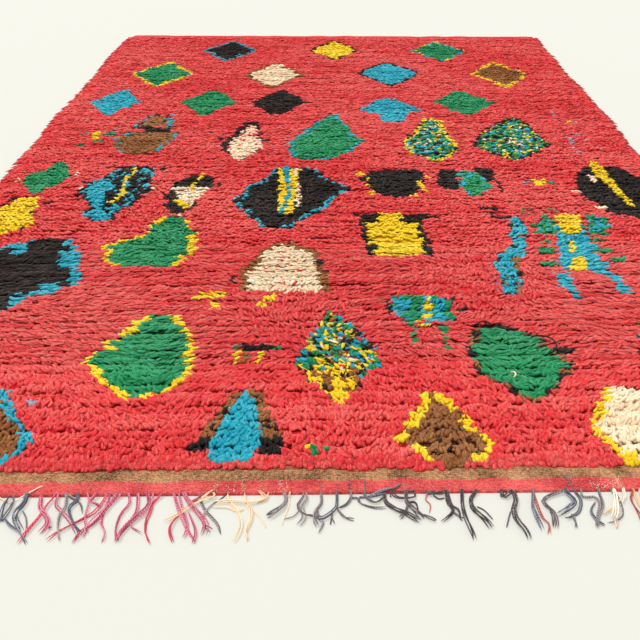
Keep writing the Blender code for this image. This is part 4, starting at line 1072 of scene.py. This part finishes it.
share = np.linspace(0, 1, STEPS)
yarn_paths, yarn_widths, yarn_colours = [], [], []
for bundle in bundles:
    start_x, start_along = bundle.points[0]
    rooted = -0.7 < start_along < 0.7
    places = [(start_x + fringe_rng.uniform(-0.15, 0.15), ROOT_ALONG)] * rooted + bundle.points
    line = curve_through(places, STEPS) / 100
    run = np.gradient(line, axis=0)
    normal = np.stack([-run[:, 1], run[:, 0]], 1) / np.linalg.norm(run, axis=1, keepdims=True)
    yarns = max(1, round(bundle.thickness / BUNDLE_SHARE))
    swing = SWING * bundle.thickness * (0.75 + 0.75 * share) if yarns > 1 else LONE_SWING + 0 * share
    turn, level = fringe_rng.uniform(*TURNS), fringe_rng.uniform(0.0, MOST_LIFT)
    for number in range(yarns):
        phase = 2 * math.pi * (number / yarns + turn * share) + fringe_rng.uniform(-0.5, 0.5) * share
        aside = swing * np.sin(phase) + 0.0008 * share * fringe_rng.normal(0, 1)
        x = line[:, 0] + normal[:, 0] * aside
        along = line[:, 1] + normal[:, 1] * aside
        y = on_floor(x / HALF_CLOTH, along)[1]
        on_band = ((along - 0.001) / 0.006).clip(0, 1) ** 0.7
        lift = level * np.sin(math.pi * share) + swing * (1 + np.cos(phase)) * 0.8
        z = YARN_THICKNESS / 2 + FLOOR_GAP + lift + (BAND_REST - YARN_THICKNESS / 2) * on_band
        yarn_paths.append(np.stack([x, np.maximum(y, cad_low[1] + END_GAP), z], 1))
        root = 1 + 0.5 * rooted * np.exp(-share[1:-1] * 9)
        end = np.where(share[1:-1] > 0.9, 0.8, 1.0)
        yarn_widths.append(YARN_THICKNESS * fringe_rng.uniform(0.85, 1.15) * root * end)
        yarn_colours.append(bundle.yarn)
    if rooted:
        along = np.linspace(ROOT_ALONG + 0.15, -0.25, STEPS) / 100
        x = np.interp(along, line[::-1, 1], line[::-1, 0])
        z = BAND_REST + 0.0004 - 0.0030 * np.linspace(0, 1, STEPS) ** 2
        yarn_paths.append(np.stack([x, on_floor(x / HALF_CLOTH, along)[1], z], 1))
        yarn_widths.append((0.0012 + 0.8 * bundle.thickness / 1000) * (0.7 + 0.3 * np.sin(share[1:-1] * 25)))
        yarn_colours.append(bundle.yarn)
print(len(yarn_paths), "yarns in the fringe")

# %% Loose stitches on the red band
# In centimetres: x and spread say where across the rug the stitches lie, and low and high where along it.
STITCH_WIDTH = 0.0013
STITCH_HEIGHTS = [0.0032, 0.0046, 0.0032]    # of a stitch's two ends and its middle
Stitches = namedtuple("Stitches", "yarn count x spread low high")
STITCHES = [
    Stitches("peach", 26, -15.2, 0.35, 0.8, 2.6), Stitches("peach", 34, -11.6, 0.40, 0.6, 3.8),
    Stitches("peach", 24, -9.0, 0.60, 0.6, 2.4), Stitches("pale", 40, -6.4, 0.70, 0.7, 2.9),
    Stitches("pale", 16, -13.4, 0.80, 0.7, 2.4), Stitches("slate", 14, -1.5, 0.18, 0.8, 2.6),
    Stitches("ash", 12, 0.7, 0.20, 0.8, 2.4), Stitches("slate", 14, 2.4, 0.18, 0.8, 2.9),
    Stitches("ash", 22, 4.4, 0.16, 0.8, 4.6), Stitches("slate", 16, 9.6, 0.45, 1.2, 2.4),
    Stitches("ash", 30, 31.4, 0.70, 2.7, 3.9), Stitches("slate", 26, 31.6, 0.35, 0.8, 3.6),
    Stitches("pale", 70, 36.2, 2.00, 0.8, 2.8), Stitches("peach", 46, 38.1, 0.40, 0.6, 3.0),
    Stitches("rose", 150, -27.0, 9.00, 0.7, 2.7), Stitches("rose", 90, 20.0, 18.0, 0.7, 2.7),
    Stitches("rose", 60, -60.0, 16.0, 0.7, 2.7), Stitches("rose", 60, 58.0, 16.0, 0.7, 2.7),
]
FRAYED = Stitches("coral", 620, 0.0, 100 * HALF_CLOTH - 1, 0.52, 0.78)
stitch_paths, stitch_colours = [], []
for group in [*STITCHES, FRAYED]:
    x = (group.x + group.spread * fringe_rng.uniform(-1, 1, group.count)) / 100
    along = fringe_rng.uniform(group.low, group.high, group.count) / 100
    lean, half = fringe_rng.normal(0, 0.5, group.count), fringe_rng.uniform(0.0007, 0.0016, group.count)
    for at_x, at_along, tilt, reach in zip(x, along, lean, half):
        ends = np.array([-1.2, 0.0, 1.2]) * reach
        y = on_floor(at_x / HALF_CLOTH, at_along + ends * math.cos(tilt))[1]
        stitch_paths.append(np.stack([at_x + ends * math.sin(tilt), y, STITCH_HEIGHTS], 1))
        stitch_colours.append(group.yarn)
print(len(stitch_paths), "stitches")

# %% The pieces of the fringe
fringe_pieces = {}
yarn_colours, stitch_colours = np.array(yarn_colours), np.array(stitch_colours)
for warp_name in sorted(set(yarn_colours)):
    mine = np.flatnonzero(yarn_colours == warp_name)
    line, width, turn = np.array(yarn_paths)[mine], np.array(yarn_widths)[mine], np.zeros(len(mine))
    yarn_shade = fringe_rng.random((len(mine), 2))
    piece = strands_object(f"fringe_{warp_name}", line, width, width, 5, turn, yarn_shade)
    fringe_pieces[piece.name] = (piece, warp_name)
for warp_name in sorted(set(stitch_colours)):
    mine = np.flatnonzero(stitch_colours == warp_name)
    line, turn = np.array(stitch_paths)[mine], np.zeros(len(mine))
    width = np.full((len(mine), 1), STITCH_WIDTH)
    yarn_shade = 0.5 + 0.5 * fringe_rng.random((len(mine), 2))
    piece = strands_object(f"stitches_{warp_name}", line, width, width, 3, turn, yarn_shade)
    fringe_pieces[piece.name] = (piece, warp_name)
print(len(fringe_pieces), "pieces in the fringe")

# %% [markdown]
# ## Colour and light in wool
#
# Wool is a rough fibre that scatters light back towards where it came from, so a tuft is bright on its
# back, dark in its furrow and soft everywhere. The pile's shader is diffuse with a high roughness and no
# gloss, and it lets light pass a little way through each lock. Only the hard-spun warp has a faint sheen.
# Each lock carries its own numbers: a shade, its place from root to tip, how far round to its underside,
# and the dye lot of its part of the rug. They move the colour between a deep tone at the root and below,
# which is painted shade with some real fading of the tips, and a faded one on the open upper side, which
# is partly sun fading and partly a painted highlight. In the first rows the dye lot is also made deeper,
# as painted shade.

# %% Colour helper and node helper
def linear(hex_colour):
    """Linear RGBA of an sRGB hex colour: c / 12.92 below 0.04045, else ((c + 0.055) / 1.055) ** 2.4."""
    parts = [int(hex_colour[i:i + 2], 16) / 255 for i in (1, 3, 5)]
    return (*[c / 12.92 if c <= 0.04045 else ((c + 0.055) / 1.055) ** 2.4 for c in parts], 1.0)


def add(tree, kind, settings=None, inputs=None, links=None):
    """Add a node: settings are its properties, inputs are values and links are sockets that feed it."""
    node = tree.nodes.new(kind)
    for name, value in (settings or {}).items():
        setattr(node, name, value)
    for name, value in (inputs or {}).items():
        node.inputs[name].default_value = value
    for name, socket in (links or {}).items():
        tree.links.new(socket, node.inputs[name])
    return node


def new_material(name):
    """A material with a Principled shader and an output, and nothing else."""
    material = bpy.data.materials.new(name)
    material.use_nodes = True
    tree = material.node_tree
    tree.nodes.clear()
    output = add(tree, "ShaderNodeOutputMaterial")
    shader = add(tree, "ShaderNodeBsdfPrincipled")
    tree.links.new(shader.outputs["BSDF"], output.inputs["Surface"])
    return material, tree, shader


def surface(tree, shader, colour, height, strength, distance, roughness, gloss):
    """Feed the shader its colour and a bump for its fibres, this strong and deep, and say how matt it is."""
    bump = add(tree, "ShaderNodeBump", None, {"Strength": strength, "Distance": distance}, {"Height": height})
    tree.links.new(colour, shader.inputs["Base Color"])
    tree.links.new(bump.outputs["Normal"], shader.inputs["Normal"])
    shader.inputs["Roughness"].default_value = roughness
    shader.inputs["Specular IOR Level"].default_value = gloss


print("mid grey is", round(linear("#808080")[0], 3), "in linear light")


# %% The pile's wool
# In the pile the deep tone is painted shade: the shader puts it at the roots and undersides of the locks, and
# the knot bodies take it in the gaps between them.
WoolDye = namedtuple("WoolDye", "deep body faded")
PILE_DYES = {
    "red": WoolDye("#B01220", "#D5383D", "#EA7A72"),
    "green": WoolDye("#084A2A", "#228050", "#50A87A"),
    "blue": WoolDye("#04607A", "#1E96AC", "#5CC2D2"),
    "yellow": WoolDye("#BE8608", "#ECC020", "#FCE054"),
    "black": WoolDye("#161312", "#282423", "#454140"),
    "brown": WoolDye("#4E2C16", "#845030", "#B4845A"),
    "cream": WoolDye("#C8906C", "#ECCCA8", "#FFF0D6"),
    "slate": WoolDye("#444C60", "#7C889E", "#AAB6C6"),
}
print(len(PILE_DYES), "dyes for the pile")


def pile_wool(yarn_name):
    """Hand-spun wool shag: soft, matt and fibrous, with yarns that run along each strand.

    The deep tone at the root is painted shade, with some real fading of the tips, and on the underside of
    each lock it is painted shade alone. Only the open upper side takes the body tone, and a sixth less of it
    where the dye lot is deepest or the first rows are painted darker. The faded tone comes in there by the
    lock's own shade, its dye lot and the light and dark of its yarns, partly as sun fading and partly as a
    painted highlight.
    """
    dye = PILE_DYES[yarn_name]
    material, tree, shader = new_material(f"hand-spun {yarn_name} pile wool")
    wool = add(tree, "ShaderNodeAttribute", {"attribute_name": "wool"})
    parts = add(tree, "ShaderNodeSeparateColor", links={"Color": wool.outputs["Color"]})
    # Painted shade: the deep tone fills each lock's root (rise) and underside (upper_side); lit is the open
    # upper side that keeps the body tone.
    rise = add(tree, "ShaderNodeMapRange", {"interpolation_type": "SMOOTHSTEP"},
               {"From Min": -0.15, "From Max": 0.35}, {"Value": parts.outputs["Green"]})
    upper_side = add(tree, "ShaderNodeMapRange", {"interpolation_type": "SMOOTHSTEP"},
                     {"From Min": 0.84, "From Max": 0.12}, {"Value": wool.outputs["Alpha"]})
    lot_and_shade_depth = add(tree, "ShaderNodeMath", {"operation": "MULTIPLY_ADD", "use_clamp": True},
                     {1: 0.32, 2: 0.84}, {0: parts.outputs["Blue"]})
    open_side = add(tree, "ShaderNodeMath", {"operation": "MULTIPLY"}, None,
                    {0: rise.outputs["Result"], 1: upper_side.outputs["Result"]})
    lit = add(tree, "ShaderNodeMath", {"operation": "MULTIPLY"}, None,
              {0: open_side.outputs[0], 1: lot_and_shade_depth.outputs[0]})
    body = add(tree, "ShaderNodeMix", {"data_type": "RGBA"}, {6: linear(dye.deep), 7: linear(dye.body)},
               {0: lit.outputs[0]})
    lay = add(tree, "ShaderNodeUVMap", {"uv_map": "lay"})
    stretched = add(tree, "ShaderNodeMapping", None, {"Scale": (8.0, 1.5, 1.0)},
                    {"Vector": lay.outputs["UV"]})
    yarns = add(tree, "ShaderNodeTexNoise", {"noise_dimensions": "2D"},
                {"Scale": 1.0, "Detail": 2.0, "Roughness": 0.6, "Distortion": 0.6},
                {"Vector": stretched.outputs["Vector"]})
    bath = add(tree, "ShaderNodeMath", {"operation": "MULTIPLY_ADD"}, {1: 0.30, 2: -0.10},
               {0: parts.outputs["Blue"]})
    pale = add(tree, "ShaderNodeMath", {"operation": "MULTIPLY_ADD"}, {1: 0.28},
               {0: parts.outputs["Red"], 2: bath.outputs[0]})
    streak = add(tree, "ShaderNodeMapRange", {"clamp": False},
                 {"From Min": 0.3, "From Max": 0.7, "To Min": -0.28, "To Max": 0.50},
                 {"Value": yarns.outputs["Fac"]})
    wear_and_shade = add(tree, "ShaderNodeMath", {"operation": "ADD", "use_clamp": True}, None,
               {0: pale.outputs[0], 1: streak.outputs["Result"]})
    # Painted highlight, with real sun fading: the faded tone shows only on the lit upper side of a lock.
    fade_and_highlight = add(tree, "ShaderNodeMath", {"operation": "MULTIPLY"}, None,
                   {0: wear_and_shade.outputs[0], 1: lit.outputs[0]})
    colour = add(tree, "ShaderNodeMix", {"data_type": "RGBA"}, {7: linear(dye.faded)},
                 {0: fade_and_highlight.outputs[0], 6: body.outputs[2]})
    surface(tree, shader, colour.outputs[2], yarns.outputs["Fac"], 1.0, 0.0010, 0.95, 0.0)
    shader.inputs["Subsurface Weight"].default_value = 0.35
    shader.inputs["Subsurface Radius"].default_value = (1.0, 0.5, 0.4)
    shader.inputs["Subsurface Scale"].default_value = 0.004
    return material


# %% The colour of the knot bodies
def colour_knot_bodies():
    """Give every corner of the cloth a painted shade of the nearest knot's yarn, as the attribute 'knots'.

    The bodies show only in the gaps between the locks, so the tone is deep * (1 - share) + body * share: the
    share grows from 0.10 at the near end to 0.65 in the detailed rows' last one, and the near end is darkest.
    """
    deep, body = (np.array([linear(PILE_DYES[name][k]) for name in YARNS]) for k in (0, 1))
    row = np.floor((grid_upper - FLAT_END - 0.0001) / ROW_PITCH).astype(int).clip(0, KNOT_ROWS - 1)
    column = np.floor((grid_across + 1) / 2 * KNOT_COLUMNS).astype(int).clip(0, KNOT_COLUMNS - 1)
    yarn = knot_yarn[row * KNOT_COLUMNS + column]
    # Painted shade: the bodies show only in the gaps between the locks, so they take mostly the deep tone,
    # most at the near end.
    share = (0.10 + 0.55 * (row / DETAILED_ROWS).clip(0, 1))[..., None]
    nearest = deep[yarn] * (1 - share) + body[yarn] * share
    hidden = np.broadcast_to(deep[0], (*under_across.shape, 4))
    colours = np.concatenate([nearest, hidden], 1).reshape(-1, 4)
    attribute = cloth.data.attributes.new("knots", "FLOAT_COLOR", "POINT")
    attribute.data.foreach_set("color", colours.astype(np.float32).ravel())


def knot_body_wool():
    """The wool of the knots' bodies, packed: the painted shade of the gaps between the locks, broken by
    fibres.
    """
    material, tree, shader = new_material("packed wool of the knot bodies")
    knots = add(tree, "ShaderNodeAttribute", {"attribute_name": "knots"})
    place = add(tree, "ShaderNodeTexCoord")
    combed_out = add(tree, "ShaderNodeMapping", None, {"Scale": (110.0, 520.0, 520.0)},
                     {"Vector": place.outputs["Object"]})
    fibre = add(tree, "ShaderNodeTexNoise", None, {"Scale": 1.0, "Detail": 3.0, "Roughness": 0.7},
                {"Vector": combed_out.outputs["Vector"]})
    light = add(tree, "ShaderNodeMapRange", None,
                {"From Min": 0.38, "From Max": 0.62, "To Min": 0.8, "To Max": 1.15},
                {"Value": fibre.outputs["Fac"]})
    colour = add(tree, "ShaderNodeVectorMath", {"operation": "SCALE"}, None,
                 {"Vector": knots.outputs["Color"], "Scale": light.outputs["Result"]})
    surface(tree, shader, colour.outputs["Vector"], fibre.outputs["Fac"], 1.0, 0.0015, 0.95, 0.0)
    return material


# %% The warp's wool
WARP_DYES = {
    "magenta": WoolDye("#94304E", "#C05270", "#E8A2B2"),
    "slate": WoolDye("#2E2F3C", "#5A5C6C", "#A6A6B4"),
    "peach": WoolDye("#C8905E", "#EEC498", "#FDE9CC"),
    "ash": WoolDye("#3E3438", "#746A6C", "#B8AEAC"),
    "charcoal": WoolDye("#201A1C", "#4A4042", "#8A7E80"),
    "rust": WoolDye("#7A2A22", "#B45648", "#DCA090"),
    "red": WoolDye("#9C1C34", "#CE3A54", "#EC8C98"),
    "pale": WoolDye("#D8C4AC", "#EFE0CA", "#FBF3E6"),
    "coral": WoolDye("#A82A2C", "#D44C4A", "#EA8078"),
    "rose": WoolDye("#D05862", "#E68A90", "#F2B4B8"),
}
print(len(WARP_DYES), "dyes for the warp")


ONE_TURN = 2 * math.pi / 10     # the wave texture repeats after this much of its own vector
PLY_TURNS = 27                  # light and dark turns along a yarn, drawn coarser than the twist


def warp_wool(yarn_name):
    """Hard-spun warp wool: a thin two-ply yarn with a diagonal twist and a faint lustre."""
    dye = WARP_DYES[yarn_name]
    material, tree, shader = new_material(f"twisted {yarn_name} warp wool")
    wool = add(tree, "ShaderNodeAttribute", {"attribute_name": "wool"})
    parts = add(tree, "ShaderNodeSeparateColor", links={"Color": wool.outputs["Color"]})
    lay = add(tree, "ShaderNodeUVMap", {"uv_map": "lay"})
    twist = add(tree, "ShaderNodeMapping", None, {"Scale": (ONE_TURN, PLY_TURNS * ONE_TURN, 1.0)},
                {"Vector": lay.outputs["UV"]})
    ply = add(tree, "ShaderNodeTexWave", {"bands_direction": "DIAGONAL"},
              {"Scale": 1.0, "Distortion": 4.0, "Detail": 3.0, "Detail Scale": 1.5},
              {"Vector": twist.outputs["Vector"]})
    own = add(tree, "ShaderNodeMath", {"operation": "MULTIPLY_ADD"}, {1: 0.5, 2: 0.06},
              {0: parts.outputs["Red"]})
    wear_and_shade = add(tree, "ShaderNodeMath", {"operation": "MULTIPLY_ADD"}, {1: 0.46},
               {0: ply.outputs["Fac"], 2: own.outputs[0]})
    first = add(tree, "ShaderNodeMapRange", None, {"From Max": 0.5}, {"Value": wear_and_shade.outputs[0]})
    second = add(tree, "ShaderNodeMapRange", None, {"From Min": 0.5}, {"Value": wear_and_shade.outputs[0]})
    body = add(tree, "ShaderNodeMix", {"data_type": "RGBA"}, {6: linear(dye.deep), 7: linear(dye.body)},
               {0: first.outputs["Result"]})
    colour = add(tree, "ShaderNodeMix", {"data_type": "RGBA"}, {7: linear(dye.faded)},
                 {0: second.outputs["Result"], 6: body.outputs[2]})
    surface(tree, shader, colour.outputs[2], ply.outputs["Fac"], 0.6, 0.0004, 0.8, 0.25)
    shader.inputs["Sheen Weight"].default_value = 0.15
    return material


# %% The flat weaves
def flat_weave():
    """Weft-faced weave of both ends: red at the very end, then brown, in a nubby, matt, twilled face.

    The wefts are drawn twice as coarse as they are, so that they show. The line between the colours wanders
    by a weft or two, as the weaver changed the yarn.
    """
    material, tree, shader = new_material("red and brown weft-faced flatweave")
    place = add(tree, "ShaderNodeTexCoord")
    wefts = add(tree, "ShaderNodeMapping", None, {"Scale": (160.0, 420.0, 1.0)},
                {"Vector": place.outputs["Object"]})
    slubs = add(tree, "ShaderNodeTexNoise", None, {"Scale": 1.0, "Detail": 3.0, "Roughness": 0.7},
                {"Vector": wefts.outputs["Vector"]})
    crossings = add(tree, "ShaderNodeMapping", None, {"Scale": (330.0, 300.0, 1.0)},
                    {"Vector": place.outputs["Object"]})
    beads = add(tree, "ShaderNodeTexVoronoi", {"feature": "F1"}, {"Scale": 1.0, "Randomness": 0.55},
                {"Vector": crossings.outputs["Vector"]})
    twill = add(tree, "ShaderNodeTexWave", {"bands_direction": "DIAGONAL"},
                {"Scale": 150.0, "Distortion": 2.0, "Detail": 1.0}, {"Vector": place.outputs["Object"]})
    patch = add(tree, "ShaderNodeTexNoise", None, {"Scale": 26.0, "Detail": 2.0},
                {"Vector": place.outputs["Object"]})
    from_end = add(tree, "ShaderNodeAttribute", {"attribute_name": "from_end"})
    wander = add(tree, "ShaderNodeMath", {"operation": "MULTIPLY_ADD"}, {1: 0.010},
                 {0: patch.outputs["Fac"], 2: from_end.outputs["Fac"]})
    brown = add(tree, "ShaderNodeMath", {"operation": "GREATER_THAN"}, {1: RED_BAND + 0.005},
                {0: wander.outputs[0]})
    nub = add(tree, "ShaderNodeMath", {"operation": "MULTIPLY_ADD"}, {1: -0.7, 2: 0.41},
              {0: beads.outputs["Distance"]})
    rib = add(tree, "ShaderNodeMath", {"operation": "MULTIPLY_ADD"}, {1: 0.17},
              {0: twill.outputs["Fac"], 2: nub.outputs[0]})
    rough = add(tree, "ShaderNodeMath", {"operation": "MULTIPLY_ADD"}, {1: 1.9},
                {0: slubs.outputs["Fac"], 2: rib.outputs[0]})
    # Painted shade of the band's folds: slow patches that darken the weave, added to its slubs, nubs and
    # twill.
    fold_shade = add(tree, "ShaderNodeMath", {"operation": "MULTIPLY_ADD"}, {1: 1.3, 2: -1.33},
                {0: patch.outputs["Fac"]})
    wear_and_shade = add(tree, "ShaderNodeMath", {"operation": "ADD", "use_clamp": True}, None,
               {0: rough.outputs[0], 1: fold_shade.outputs[0]})
    red = add(tree, "ShaderNodeMix", {"data_type": "RGBA"}, {6: linear("#A02C30"), 7: linear("#E86A64")},
              {0: wear_and_shade.outputs[0]})
    tan = add(tree, "ShaderNodeMix", {"data_type": "RGBA"}, {6: linear("#4E3420"), 7: linear("#CE986E")},
              {0: wear_and_shade.outputs[0]})
    colour = add(tree, "ShaderNodeMix", {"data_type": "RGBA"}, None,
                 {0: brown.outputs[0], 6: red.outputs[2], 7: tan.outputs[2]})
    surface(tree, shader, colour.outputs[2], rough.outputs[0], 0.8, 0.0010, 0.95, 0.15)
    return material


# %% Dress the pieces
for piece_name, (piece, yarn_name) in pile_pieces.items():
    stuff = bpy.data.materials.get(f"hand-spun {yarn_name} pile wool") or pile_wool(yarn_name)
    piece.data.materials.append(stuff)
    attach(piece, "root")
    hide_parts("rug_cloth")
colour_knot_bodies()
cloth.data.materials.append(knot_body_wool())
cloth.data.materials.append(flat_weave())
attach(cloth, "root")
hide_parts("rug_cloth")
for piece, warp_name in fringe_pieces.values():
    stuff = bpy.data.materials.get(f"twisted {warp_name} warp wool") or warp_wool(warp_name)
    piece.data.materials.append(stuff)
    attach(piece, "root")
    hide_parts("near_fringe")
every_piece = [cloth] + [piece for piece, _ in [*pile_pieces.values(), *fringe_pieces.values()]]
triangles = [sum(len(face.vertices) - 2 for face in piece.data.polygons) for piece in every_piece]
print(sum(triangles), "triangles in all, at most", max(triangles), "in a piece")

# %% [markdown]
# ## Floor, light and camera
#
# The photograph looks down along the rug from about seventy centimetres, as someone standing at its near end
# and stooping would. The floor is plain, pale and bright, and the light is broad and soft from above, with a
# weak key from the back left that draws a thin shadow line before each row of tufts.

# %% Floor
FLOOR_HALF = 30.0
FLOOR_GLOW = 0.42          # light that the floor gives by itself, so that it stays pale under the rug's shade
floor = mesh_from_arrays("floor", np.array([[-1, -1, 0], [1, -1, 0], [1, 1, 0], [-1, 1, 0]]) * FLOOR_HALF,
                         np.arange(4), np.array([4]))
floor_material, _, floor_shader = new_material("pale matt studio floor")
floor_shader.inputs["Base Color"].default_value = linear("#969690")
floor_shader.inputs["Emission Color"].default_value = linear("#FFFEF4")
floor_shader.inputs["Emission Strength"].default_value = FLOOR_GLOW
floor_shader.inputs["Roughness"].default_value = 0.9
floor.data.materials.append(floor_material)
print("floor of", 2 * FLOOR_HALF, "m")

# %% Light
SKY_STRENGTH, KEY_STRENGTH = 0.96, 2.2
KEY_SOFTNESS = 22          # degrees of sky that the key takes up
KEY_BACK, KEY_LEFT = 12, 22    # degrees that it stands from straight above
world = bpy.data.worlds.new("soft studio")
bpy.context.scene.world = world
world.use_nodes = True
world.node_tree.nodes["Background"].inputs["Color"].default_value = linear("#FFFDF8")
world.node_tree.nodes["Background"].inputs["Strength"].default_value = SKY_STRENGTH
key = bpy.data.lights.new("key", "SUN")
key.energy = KEY_STRENGTH
key.angle = math.radians(KEY_SOFTNESS)
key_object = bpy.data.objects.new("key", key)
key_object.rotation_euler = (-math.radians(KEY_BACK), -math.radians(KEY_LEFT), 0)
bpy.context.scene.collection.objects.link(key_object)
print("sky of", SKY_STRENGTH, "and key of", KEY_STRENGTH)

# %% Camera
FRAME_PIXELS = 640
FOCAL_PIXELS = 747.0       # focal length in pixels of that frame
PITCH = math.radians(34.3)
YAW = math.radians(0.735)
SENSOR = 36.0
camera_data = bpy.data.cameras.new("camera")
camera_data.sensor_width = SENSOR
camera_data.lens = SENSOR * FOCAL_PIXELS / FRAME_PIXELS
camera_data.dof.use_dof = False
camera = bpy.data.objects.new("camera", camera_data)
camera.location = (-0.0064, -1.832, 0.7406)
camera.rotation_euler = (math.pi / 2 - PITCH, 0, YAW)
bpy.context.scene.collection.objects.link(camera)
bpy.context.scene.camera = camera
bpy.context.scene.view_settings.view_transform = "Standard"
print("camera at", [round(value, 3) for value in camera.location])

# %% Sizes and the end
print("solids", list(cad_low), list(cad_high))
